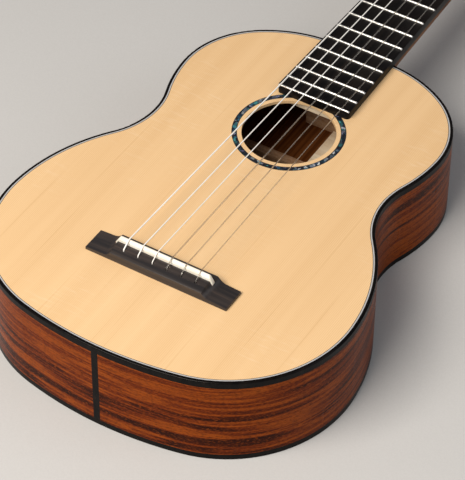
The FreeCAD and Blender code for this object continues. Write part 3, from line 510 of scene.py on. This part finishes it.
def shell_mosaic(name):
    """Small tiles of shell round the soundhole, each with its own colour and layered streaks."""
    shader = Shader(name)
    parts = shader.split(shader.object_place)
    centre = TO_CAD @ Vector((0, HOLE_Y, 0))
    forward = shader.calc("SUBTRACT", parts[1], centre.y)
    angle = shader.calc("ARCTAN2", parts[0], forward)
    squares = shader.calc("ADD", shader.calc("POWER", parts[0], 2), shader.calc("POWER", forward, 2))
    reach = shader.calc("SQRT", squares)
    around = shader.calc("MULTIPLY", angle, TILES_PER_RADIAN)
    tile_place = shader.join(around, shader.calc("MULTIPLY", reach, 420), 0)
    _, tile_colour = shader.cells(tile_place, "F1")
    edge, _ = shader.cells(tile_place, "DISTANCE_TO_EDGE")
    channels = shader.nodes.new("ShaderNodeSeparateColor")
    shader.links.new(tile_colour, channels.inputs[0])
    layer_angle = shader.calc("MULTIPLY", angle, 45)
    layer_reach = shader.calc("MULTIPLY", reach, 900)
    layer_place = shader.join(layer_angle, layer_reach, channels.outputs[2])
    layers = shader.noise(layer_place, detail=4, distortion=2.2)
    own_hue = shader.calc("MULTIPLY", channels.outputs[0], 0.6)
    hue = shader.calc("ADD", own_hue, shader.calc("MULTIPLY", layers, 0.5))
    colour = shader.ramp(hue, [
        (0.15, (0.004, 0.006, 0.016)),
        (0.32, (0.02, 0.11, 0.22)),
        (0.43, (0.08, 0.38, 0.38)),
        (0.52, (0.008, 0.014, 0.06)),
        (0.63, (0.26, 0.34, 0.40)),
        (0.73, (0.09, 0.05, 0.22)),
        (0.86, (0.85, 0.93, 0.90)),
    ])
    shade = shader.between(channels.outputs[1], 0.35, 0.8, 0.96, 0.0)
    deep = shader.mix(shade, colour, (0.008, 0.01, 0.02))
    joined = shader.mix(shader.between(edge, 0.0, 0.06, 0.85, 0.0), deep, (0.004, 0.004, 0.005))
    return shader.surface_is(
        Base_Color=joined,
        Metallic=shader.between(layers, 0.3, 0.7, 0.15, 0.5),
        Roughness=shader.between(layers, 0.3, 0.7, 0.22, 0.38),
        Coat_Weight=0.1,
        Coat_Roughness=0.08,
    )


def metal(name, colour, roughness, brushed, relief=0.000004):
    """Bare or plated metal with polishing lines, smudges and a little tarnish.

    brushed is how closely the lines lie along X, Y and Z.
    """
    shader = Shader(name)
    lines = shader.noise(shader.place(*brushed), detail=5)
    smudge = shader.noise(shader.place(120, 120, 120), detail=3)
    tarnished = tint(colour, (0.2, 0.16, 0.12), 0.4)
    tone = shader.mix(shader.between(smudge, 0.45, 0.75, 0.0, 0.35), colour, tarnished)
    return shader.surface_is(
        Base_Color=tone,
        Metallic=1.0,
        Roughness=shader.between(lines, 0.3, 0.7, roughness - 0.06, roughness + 0.08),
        Normal=shader.bump(lines, relief, 0.5),
    )


def winding(name):
    """Fine silver-plated wire wound round a string: close rings across its length, with painted shade in
    the grooves between the turns.
    """
    shader = Shader(name)
    along = shader.split(shader.place(1, 1, 1))[1]
    turn = shader.calc("SINE", shader.calc("MULTIPLY", along, 2 * math.pi / WIRE_PITCH))
    tarnish = shader.noise(shader.place(60, 25, 60), detail=3)
    tone = shader.ramp(tarnish, [(0.35, (0.98, 0.965, 0.93)), (0.7, (0.93, 0.91, 0.87))])
    # painted shade: the base colour is darkened to brown-grey in the grooves between the wire's turns
    painted_groove_shade = shader.mix(shader.between(turn, -1.0, -0.5, 0.16, 0.0), tone, (0.3, 0.27, 0.24))
    return shader.surface_is(
        Base_Color=painted_groove_shade,
        Metallic=0.05,
        Roughness=shader.between(tarnish, 0.3, 0.7, 0.34, 0.42),
        Normal=shader.bump(turn, 0.000006, 0.3),
    )


def nylon(name):
    """Clear nylon, faintly cloudy."""
    shader = Shader(name)
    cloud = shader.noise(shader.place(300, 40, 300), detail=3)
    tone = shader.ramp(cloud, [(0.3, (0.66, 0.61, 0.55)), (0.7, (0.80, 0.77, 0.72))])
    return shader.surface_is(
        Base_Color=tone,
        Roughness=shader.between(cloud, 0.3, 0.7, 0.12, 0.26),
        Transmission_Weight=0.92,
        IOR=1.53,
        Normal=shader.bump(cloud, 0.000002, 0.3),
    )


def bone(name):
    """Polished bone with short grey pores and a slightly warmer core."""
    shader = Shader(name)
    grain = shader.noise(shader.place(160, 900, 900), detail=3)
    cloud = shader.noise(shader.place(70, 70, 70), detail=2)
    ground = shader.ramp(cloud, [(0.3, (0.90, 0.87, 0.80)), (0.75, (0.80, 0.74, 0.62))])
    flecked = shader.mix(shader.between(grain, 0.62, 0.8, 0.0, 0.35), ground, (0.55, 0.47, 0.36))
    return shader.surface_is(
        Base_Color=flecked,
        Roughness=shader.between(cloud, 0.3, 0.7, 0.24, 0.38),
        Subsurface_Weight=0.12,
        Subsurface_Radius=(0.0012, 0.0009, 0.0006),
        Normal=shader.bump(grain, 0.00001, 0.3),
    )


def lacquered_line(name, colour, flaw):
    """A thin dyed strip under lacquer, with the faint fibre of its veneer."""
    shader = Shader(name)
    fibre = shader.noise(shader.place(400, 400, 400), detail=3)
    tone = shader.mix(shader.between(fibre, 0.4, 0.7, 0.0, 0.6), colour, flaw)
    return shader.surface_is(
        Base_Color=tone,
        Roughness=shader.between(fibre, 0.3, 0.7, 0.3, 0.42),
        Specular_IOR_Level=0.25,
        Coat_Weight=0.05,
        Coat_Roughness=0.08,
    )


def polished_black(name):
    """Polished black buttons with faint handling marks."""
    shader = Shader(name)
    cloud = shader.noise(shader.place(180, 180, 60), detail=4, distortion=0.8)
    rub = shader.noise(shader.place(700, 700, 700), detail=3)
    tone = shader.ramp(cloud, [(0.35, (0.010, 0.009, 0.009)), (0.75, (0.032, 0.028, 0.026))])
    return shader.surface_is(
        Base_Color=tone,
        Roughness=shader.between(rub, 0.35, 0.7, 0.12, 0.3),
        Normal=shader.bump(rub, 0.000004, 0.4),
        Coat_Weight=0.4,
        Coat_Roughness=0.05,
    )


def make_materials():
    """One material for each slot of the record, and those that SPECIAL_FINISH names."""
    sapele = [(0.30, 0.062, 0.005), (0.135, 0.020, 0.0018), (0.018, 0.0024, 0.0006)]
    bare = [(0.15, 0.047, 0.011), (0.08, 0.022, 0.004)]
    neck = [(0.30, 0.125, 0.045), (0.21, 0.078, 0.026), (0.115, 0.038, 0.014)]
    return {
        "spruce_top": spruce("spruce_top", (0.86, 0.60, 0.335), (0.58, 0.33, 0.13), 0.12),
        "brace_spruce": plain_wood("brace_spruce", (0.90, 0.76, 0.56), (0.78, 0.60, 0.40)),
        "ribs": ribbon_wood("sapele_ribs", "Z", *sapele, 0.02, bare=bare),
        "mahogany": ribbon_wood("sapele_back", "X", *sapele, 0.02, bare=bare),
        "neck_wood": ribbon_wood("neck_wood", "X", *neck, 0.15, 0.38),
        "ebony": ebony("ebony_bridge", 0.34, 0.0, 2.3, 0.4, "X"),
        "ebony_board": ebony("ebony_board", 0.36, 0.0, 0.5, 0.1),
        "ebony_gloss": ebony("ebony_lacquered", 0.3, 0.1, 0.3, 0.05),
        "ebony_veneer": ebony("ebony_veneer", 0.26, 0.25, 1.0),
        "black_line": lacquered_line("black_line", (0.012, 0.011, 0.012), (0.03, 0.027, 0.025)),
        "white_line": lacquered_line("white_line", (0.47, 0.47, 0.48), (0.38, 0.37, 0.37)),
        "inner_wood": plain_wood("inner_wood", (0.42, 0.24, 0.12), (0.28, 0.14, 0.065)),
        "shell": shell_mosaic("shell_mosaic"),
        "bone": bone("bone"),
        "fret_metal": metal("fret_metal", (0.94, 0.92, 0.88), 0.34, (400, 60, 400), 0.0000003),
        "machine_metal": metal("machine_metal", (0.76, 0.74, 0.71), 0.2, (60, 900, 900)),
        "gear_brass": metal("gear_brass", (0.74, 0.52, 0.22), 0.26, (900, 300, 300)),
        "worm_steel": metal("worm_steel", (0.62, 0.61, 0.60), 0.28, (300, 300, 900)),
        "button": polished_black("button_black"),
        "nylon": nylon("nylon"),
        "wound_string": winding("wound_string"),
    }


# Nodes whose finish isn't their slot's: the ribs' stripes run round the body, the back's along it
SPECIAL_FINISH = {
    "rib_bass": "ribs",
    "rib_treble": "ribs",
    "top_binding": "ebony_gloss",
    "back_binding": "ebony_gloss",
    "tail_wedge": "ebony_gloss",
    "back_inlay": "ebony_gloss",
    "heel_cap": "ebony_gloss",
    "head_veneer": "ebony_veneer",
}


def dress_frame(materials):
    """Give every CAD node its material: the record's slot, or a special finish."""
    for row in frame["record"]["subparts"]:
        finish = SPECIAL_FINISH.get(row["node"], row["material_slot"])
        for own_slot in NODES[row["node"]].material_slots:
            own_slot.link = "OBJECT"
            own_slot.material = materials[finish]


# ---------------------------------------------------------------- mesh helpers
def add_piece(name, mesh, material, body, stands_for=()):
    """Put a finished mesh in the scene as a piece that rides on a CAD body."""
    mesh.materials.clear()
    mesh.materials.append(material)
    mesh.shade_smooth()
    mesh.set_sharp_from_angle(angle=SHARP_ANGLE)
    piece = bpy.data.objects.new(name, mesh)
    bpy.context.scene.collection.objects.link(piece)
    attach(piece, body)
    if stands_for:
        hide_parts(*stands_for)
    return piece


def mesh_from(name, shells, matrix):
    """One mesh from a list of (points, faces) shells, carried to the CAD frame."""
    points, faces = [], []
    for shell_points, shell_faces in shells:
        start = len(points)
        points += [matrix @ Vector(point) for point in shell_points]
        faces += [[start + index for index in face] for face in shell_faces]
    mesh = bpy.data.meshes.new(name)
    mesh.from_pydata(points, [], faces)
    work = bmesh.new()
    work.from_mesh(mesh)
    bmesh.ops.recalc_face_normals(work, faces=work.faces)
    work.to_mesh(mesh)
    work.free()
    return mesh


def loft(rings):
    """A closed shell through rings of equally many points, with both ends capped."""
    count = len(rings[0])
    points = [point for ring in rings for point in ring]
    faces = []
    for row in range(len(rings) - 1):
        for step in range(count):
            here = row * count + step
            beside = row * count + (step + 1) % count
            faces.append([here, beside, beside + count, here + count])
    faces.append(list(range(count)))
    faces.append([len(points) - 1 - step for step in range(count)])
    return points, faces


def tube(path, radius, sides):
    """A round cord along a path, its rings turning as little as they can."""
    path = [Vector(point) for point in path]
    heading = (path[1] - path[0]).normalized()
    side = heading.orthogonal().normalized()
    rings = []
    for index, point in enumerate(path):
        before = path[max(index - 1, 0)]
        after = path[min(index + 1, len(path) - 1)]
        heading = (after - before).normalized()
        side = (side - heading * side.dot(heading)).normalized()
        other = heading.cross(side)
        ring = []
        for step in range(sides):
            turn = 2 * math.pi * step / sides
            ring.append(point + radius * (math.cos(turn) * side + math.sin(turn) * other))
        rings.append(ring)
    return loft(rings)


def turned(profile, centre, axis, sides=40, shape=None):
    """A turned form from (radius, distance) steps along an axis, which is "X" or "Z".

    shape(angle, distance) may add to the radius, as teeth and threads do.
    """
    rings = []
    for radius, distance in profile:
        ring = []
        for step in range(sides):
            turn = 2 * math.pi * step / sides
            reach = radius + (shape(turn, distance) if shape else 0.0)
            first, second = reach * math.cos(turn), reach * math.sin(turn)
            offset = (distance, first, second) if axis == "X" else (first, second, distance)
            ring.append(Vector(centre) + Vector(offset))
        rings.append(ring)
    return loft(rings)


def bent(points, reach):
    """A path whose inner corners are eased over a short reach."""
    points = [Vector(point) for point in points]
    path = [points[0]]
    for before, corner, after in zip(points, points[1:], points[2:]):
        start = corner + (before - corner).normalized() * min(reach, (before - corner).length / 3)
        end = corner + (after - corner).normalized() * min(reach, (after - corner).length / 3)
        for step in range(BEND_STEPS + 1):
            share = step / BEND_STEPS
            rest = 1 - share
            path.append(rest ** 2 * start + 2 * share * rest * corner + share ** 2 * end)
    path.append(points[-1])
    return path


def bake_modifiers(piece):
    """Bake a piece's modifiers into its mesh."""
    graph = bpy.context.evaluated_depsgraph_get()
    mesh = bpy.data.meshes.new_from_object(piece.evaluated_get(graph))
    piece.modifiers.clear()
    piece.data = mesh
    mesh.shade_smooth()
    mesh.set_sharp_from_angle(angle=SHARP_ANGLE)


def add_eased(node, width, material):
    """A copy of a fixed CAD node with its sharp edges eased, which stands for the node."""
    mesh = NODES[node].data.copy()
    mesh.name = node + "_eased"
    work = bmesh.new()
    work.from_mesh(mesh)
    bmesh.ops.remove_doubles(work, verts=work.verts, dist=SAME_POINT)
    bmesh.ops.dissolve_limit(work, angle_limit=FLAT_ANGLE, verts=work.verts, edges=work.edges)
    work.to_mesh(mesh)
    work.free()
    piece = add_piece(node + "_eased", mesh, material, "root", [node])
    bevel = piece.modifiers.new("ease", "BEVEL")
    bevel.width = width
    bevel.segments = 2
    bevel.limit_method = "ANGLE"
    bevel.angle_limit = EASED_ANGLE
    bake_modifiers(piece)


# ---------------------------------------------------------------- frets, strings and machines
def fret_y(number):
    """Distance of a fret from the saddle."""
    return SCALE * 2 ** (-number / 12)


def board_half(y):
    """Half width of the fingerboard at a distance from the saddle."""
    return NUT_HALF + (BOARD_END_HALF - NUT_HALF) * (SCALE - y) / (SCALE - BOARD_END)


def add_frets(materials):
    """Crowned frets with bevelled ends, seated on the board."""
    shells = []
    for number in range(1, FRET_COUNT + 1):
        y = fret_y(number)
        half = board_half(y) - FRET_END_INSET
        bevels = [(-half + inset, share) for inset, share in FRET_BEVEL]
        bevels += [(-x, share) for x, share in reversed(bevels)]
        sections = []
        for x, share in bevels:
            section = []
            for step in range(FRET_SIDES + 1):
                turn = math.pi * step / FRET_SIDES
                across = -FRET_WIDTH / 2 * math.cos(turn)
                up = FRET_HEIGHT * share * math.sin(turn) ** FRET_CROWN
                section.append((x, y + across, BOARD_THICK + up))
            sections.append(section)
        shells.append(loft(sections))
    mesh = mesh_from("frets_crowned", shells, TO_CAD)
    add_piece("frets_crowned", mesh, materials["fret_metal"], "root", ["frets"])


def string_x(number, spread):
    """Sideways place of a string; string 1 is the thinnest, on the treble side."""
    return spread * (0.5 - (number - 1) / (len(STRING_RADII) - 1))


def machine_of(number):
    """Side (+1 treble), station along the head and coil place of a string's machine."""
    side = 1 if number <= 3 else -1
    order = number - 1 if side > 0 else 6 - number
    return side, STATIONS[order], COIL_PLACES[order]


def string_path(number):
    """From the bead under the bridge, over saddle and nut, and most of a turn round the roller."""
    radius = STRING_RADII[number]
    side, station, coil_x = machine_of(number)
    x_saddle = string_x(number, BRIDGE_SPREAD)
    nut_height = BOARD_THICK + FRET_HEIGHT + NUT_STRING_GAP + radius
    taut = [
        TO_CAD @ Vector((x_saddle, PIN_LINE, BEAD_Z)),
        TO_CAD @ Vector((x_saddle, PIN_LINE, BRIDGE_CROWN + PIN_CLEARANCE)),
        TO_CAD @ Vector((x_saddle, 0, SADDLE_TOP + radius + SADDLE_CLEARANCE)),
        TO_CAD @ Vector((string_x(number, NUT_SPREAD), SCALE + NUT_CONTACT, nut_height)),
    ]
    to_head = HEAD.inverted()
    taut = [to_head @ point for point in taut]
    reach = BARREL_RADIUS + radius + ROLLER_CLEARANCE
    away = station - taut[-1].y
    drop = ROLLER_DROP - taut[-1].z
    distance = math.hypot(away, drop)
    lift = math.atan2(drop, away) + math.asin(reach / distance)
    first = lift + math.pi / 2
    wrap = []
    for step in range(WRAP_STEPS + 1):
        turn = first - WRAP_STEP_ANGLE * step
        y = station + reach * math.cos(turn)
        z = ROLLER_DROP + reach * math.sin(turn)
        wrap.append(Vector((side * coil_x, y, z)))
    return bent(taut + [wrap[0]], STRING_BEND)[:-1] + wrap


def coil_shells(number):
    """The string's other turns on its roller, on each side of the turn that leaves it."""
    radius = STRING_RADII[number]
    side, station, coil_x = machine_of(number)
    pitch = 2 * radius * TURN_SPACING
    reach = BARREL_RADIUS + radius
    shells = []
    for way in (1, -1):
        start = 2 * radius * FIRST_SPACING
        turns = (COIL_WIDTH / 2 - radius - start) / pitch
        path = []
        steps = max(8, int(COIL_STEPS_PER_TURN * turns))
        for step in range(steps + 1):
            share = step / steps
            turn = 2 * math.pi * turns * share * way + COIL_START
            x = side * coil_x + way * (start + pitch * turns * share)
            path.append((x, station + reach * math.cos(turn), ROLLER_DROP + reach * math.sin(turn)))
        shells.append(tube(path, radius, 12))
    return shells


def bead_shell(number):
    """The bead that stops a string under the bridge plate."""
    centre = (string_x(number, BRIDGE_SPREAD), PIN_LINE, BEAD_Z)
    profile = []
    for step in range(BEAD_STEPS + 1):
        turn = math.pi * (step + POLE_SHARE) / (BEAD_STEPS + 2 * POLE_SHARE)
        profile.append((BEAD_RADIUS * math.sin(turn), -BEAD_RADIUS * math.cos(turn)))
    return turned(profile, centre, "Z", 24)


def add_strings(materials):
    """Six strings with their beads, and the turns that ride on the rollers."""
    to_board = TO_CAD.inverted() @ HEAD
    for number in STRING_RADII:
        slot = "nylon" if number <= 3 else "wound_string"
        material = materials[slot]
        path = [to_board @ point for point in string_path(number)]
        sides = 12 if number <= 3 else 14
        shells = [tube(path, STRING_RADII[number], sides), bead_shell(number)]
        name = "string_%d_taut" % number
        mesh = mesh_from(name, shells, TO_CAD)
        add_piece(name, mesh, material, "root", ["string_%d" % number])
        name = "string_%d_coil" % number
        mesh = mesh_from(name, coil_shells(number), HEAD)
        add_piece(name, mesh, material, "drum_%d" % number)


def trapezoid(phase):
    """A tooth's height, from -1 to 1, at a phase from 0 to 1 with its crest at one half."""
    away = abs((phase % 1.0) - 0.5)
    return max(-1.0, min(1.0, (0.25 - away) * FLANK_STEEPNESS))


def tooth_height(phase, share):
    """A tooth's height over the pitch surface; share below 1 leaves backlash."""
    wave = trapezoid(0.5 + ((phase % 1.0) - 0.5) / share)
    return ADDENDUM * wave if wave > 0 else DEDENDUM * wave


def add_roller(number, materials):
    """A brass roller: barrel, journals, a 14-tooth gear and the slotted screw on its end."""
    side, station, _ = machine_of(number)
    centre = (0, station, ROLLER_DROP)
    low, high = BARREL_ENDS
    near_rim = [(BARREL_RADIUS - cut, low + inwards) for cut, inwards in BARREL_RIM]
    far_rim = [(BARREL_RADIUS - cut, high - inwards) for cut, inwards in reversed(BARREL_RIM)]
    barrel = [
        (JOURNAL_RADIUS - JOURNAL_CHAMFER, JOURNAL_START),
        (JOURNAL_RADIUS, JOURNAL_START + JOURNAL_CHAMFER),
        (JOURNAL_RADIUS, low), *near_rim, *far_rim, (JOURNAL_RADIUS, high),
        (JOURNAL_RADIUS, GEAR_ENDS[0]),
    ]

    def mirrored(profile):
        return [(radius, side * distance) for radius, distance in profile]

    def teeth(turn, distance):
        slant = (distance - side * MACHINE_X) * LEAD_SLOPE / GEAR_PITCH_RADIUS
        return tooth_height((turn - slant) * TEETH / (2 * math.pi) + 0.5, TOOTH_SHARE)

    gear = []
    for step in range(GEAR_ROWS + 1):
        distance = GEAR_ENDS[0] + (GEAR_ENDS[1] - GEAR_ENDS[0]) * step / GEAR_ROWS
        gear.append((GEAR_PITCH_RADIUS, distance))
    end = GEAR_ENDS[1]
    cap = [(radius, end + rise) for radius, rise in ROLLER_CAP]
    shells = [
        turned(mirrored(barrel), centre, "X"),
        turned(mirrored(gear), centre, "X", TEETH * STEPS_PER_TOOTH, teeth),
        turned(mirrored(cap), centre, "X"),
    ]
    name = "roller_%d_geared" % number
    mesh = mesh_from(name, shells, HEAD)
    material = materials["gear_brass"]
    piece = add_piece(name, mesh, material, "drum_%d" % number, ["roller_%d" % number])
    middle = Vector((side * (end + ROLLER_CAP[-1][1]), station, ROLLER_DROP))
    carve(piece, [slot_cutter(middle, Vector(ROLLER_SLOT))])


def slot_cutter(middle, size):
    """A box, in the head's frame, that cuts a screwdriver slot."""
    corners = []
    for x in (-0.5, 0.5):
        for y, z in ((-0.5, -0.5), (0.5, -0.5), (0.5, 0.5), (-0.5, 0.5)):
            corners.append(middle + Vector((x * size.x, y * size.y, z * size.z)))
    return loft([corners[:4], corners[4:]])


def carve(piece, shells):
    """Cut shells, given in the head's frame, out of a piece."""
    cutter = bpy.data.objects.new("cutter", mesh_from("cutter", shells, HEAD))
    bpy.context.scene.collection.objects.link(cutter)
    cut = piece.modifiers.new("cut", "BOOLEAN")
    cut.object = cutter
    cut.solver = "EXACT"
    cut.use_self = True
    bake_modifiers(piece)
    bpy.data.objects.remove(cutter)


def add_worm(number, materials):
    """A steel worm with one right-handed thread on its shaft."""
    side, station, _ = machine_of(number)
    centre = (side * MACHINE_X, station + WORM_OFFSET, ROLLER_DROP)

    def thread(turn, distance):
        if abs(distance) > WORM_HALF:
            return 0.0
        phase = distance / LEAD - turn / (2 * math.pi) - 0.25    # a gap faces the gear's tooth
        fade = min(1.0, (WORM_HALF - abs(distance)) / THREAD_RUN_OUT)
        return tooth_height(phase, TOOTH_SHARE) * fade - DEDENDUM * (1 - fade)

    threaded = []
    for step in range(WORM_ROWS + 1):
        distance = -WORM_HALF + 2 * WORM_HALF * step / WORM_ROWS
        threaded.append((WORM_PITCH_RADIUS, distance))
    top = WORM_SHAFT_TOP - ROLLER_DROP
    bottom = BUTTON_TOP - ROLLER_DROP
    radius = WORM_SHAFT_RADIUS
    shaft = [
        (radius - 0.25, bottom - SHAFT_IN_BUTTON), (radius, bottom - SHAFT_IN_BUTTON + 0.3),
        (radius, top - 0.3), (radius - 0.3, top),
    ]
    shells = [turned(threaded, centre, "Z", WORM_SIDES, thread), turned(shaft, centre, "Z", 28)]
    name = "worm_%d_threaded" % number
    mesh = mesh_from(name, shells, HEAD)
    add_piece(name, mesh, materials["worm_steel"], "peg_%d" % number, ["worm_%d" % number])


def add_button(number, materials):
    """A flattened button that swells from a round collar and closes in a soft crown."""
    side, station, _ = machine_of(number)
    x, y = side * MACHINE_X, station + WORM_OFFSET
    rings = []
    top = BUTTON_TOP + COLLAR_TOP
    bottom = BUTTON_TOP - BUTTON_LENGTH
    for step in range(BUTTON_ROWS + 1):
        share = step / BUTTON_ROWS
        z = top + (bottom - top) * share
        body = max(0.0, (BUTTON_TOP + BUTTON_SHOULDER - z) / (BUTTON_LENGTH + BUTTON_SHOULDER))
        swell = math.sin(math.pi * min(1.0, body ** BUTTON_LEAN)) ** BUTTON_FULLNESS if body > 0 else 0.0
        crown = COLLAR_RADIUS * min(1.0, (1 - share) * BUTTON_CLOSING) ** 0.5
        collar = COLLAR_RADIUS - (COLLAR_CHAMFER if step == 0 else 0.0)
        half_x = max(min(collar, crown), BUTTON_HALF_THICK * swell)
        half_y = max(min(collar, crown), BUTTON_HALF_WIDTH * swell)
        ring = []
        for corner in range(BUTTON_SIDES):
            turn = 2 * math.pi * corner / BUTTON_SIDES
            ring.append((x + half_x * math.cos(turn), y + half_y * math.sin(turn), z))
        rings.append(ring)
    tip = BUTTON_TIP_SHARE
    rings[-1] = [(x + (near[0] - x) * tip, y + (near[1] - y) * tip, bottom) for near in rings[-2]]
    name = "button_%d_shaped" % number
    mesh = mesh_from(name, [loft(rings)], HEAD)
    add_piece(name, mesh, materials["button"], "peg_%d" % number, ["button_%d" % number])


def screw_profile():
    """Radius and rise of a domed screw head, from its rim to a small flat on top."""
    profile = [(SCREW_HEAD_RADIUS - SCREW_CHAMFER, 0.0), (SCREW_HEAD_RADIUS, SCREW_RIM)]
    for step in range(1, SCREW_STEPS + 1):
        turn = math.pi / 2 * step / (SCREW_STEPS + SCREW_FLAT_SHARE)
        rise = SCREW_RIM + (SCREW_DOME - SCREW_RIM) * math.sin(turn)
        profile.append((SCREW_HEAD_RADIUS * math.cos(turn), rise))
    return profile


def add_plate_screws(materials):
    """Domed and slotted screws that hold the machine plates."""
    shells, slots = [], []
    for index, station in enumerate(SCREW_STATIONS):
        for side in (1, -1):
            centre = (side * PLATE_FACE, station, ROLLER_DROP)
            profile = [(radius, side * rise) for radius, rise in screw_profile()]
            shells.append(turned(profile, centre, "X", 32))
            middle = Vector((side * (PLATE_FACE + SCREW_DOME), station, ROLLER_DROP))
            deep, long, wide = SCREW_SLOT
            size = Vector((deep, long, wide)) if index % 2 else Vector((deep, wide, long))
            slots.append(slot_cutter(middle, size))
    mesh = mesh_from("plate_screws_slotted", shells, HEAD)
    piece = add_piece(
        "plate_screws_slotted", mesh, materials["machine_metal"],
        "root", ["plate_screws"],
    )
    carve(piece, slots)


# ---------------------------------------------------------------- assembly
# Each node's ease, in metres, and its material
EASED = {
    "bridge": (0.00035, "ebony"),
    "saddle": (0.0003, "bone"),
    "nut": (0.00025, "bone"),
    "fingerboard": (0.0003, "ebony_board"),
    "machine_plate_treble": (0.0002, "machine_metal"),
    "machine_plate_bass": (0.0002, "machine_metal"),
    "upper_cross_brace": (0.0008, "brace_spruce"),
    "lower_cross_brace": (0.0008, "brace_spruce"),
    "heel_cap": (0.0002, "ebony_gloss"),
}


def main():
    """Set the camera, the lights and the floor, dress the CAD nodes, and rebuild the finer pieces."""
    add_camera()
    add_lights()
    add_floor()
    materials = make_materials()
    dress_frame(materials)
    for node, (width, finish) in EASED.items():
        add_eased(node, width, materials[finish])
    add_frets(materials)
    add_strings(materials)
    for number in STRING_RADII:
        add_roller(number, materials)
        add_worm(number, materials)
        add_button(number, materials)
    add_plate_screws(materials)


main()
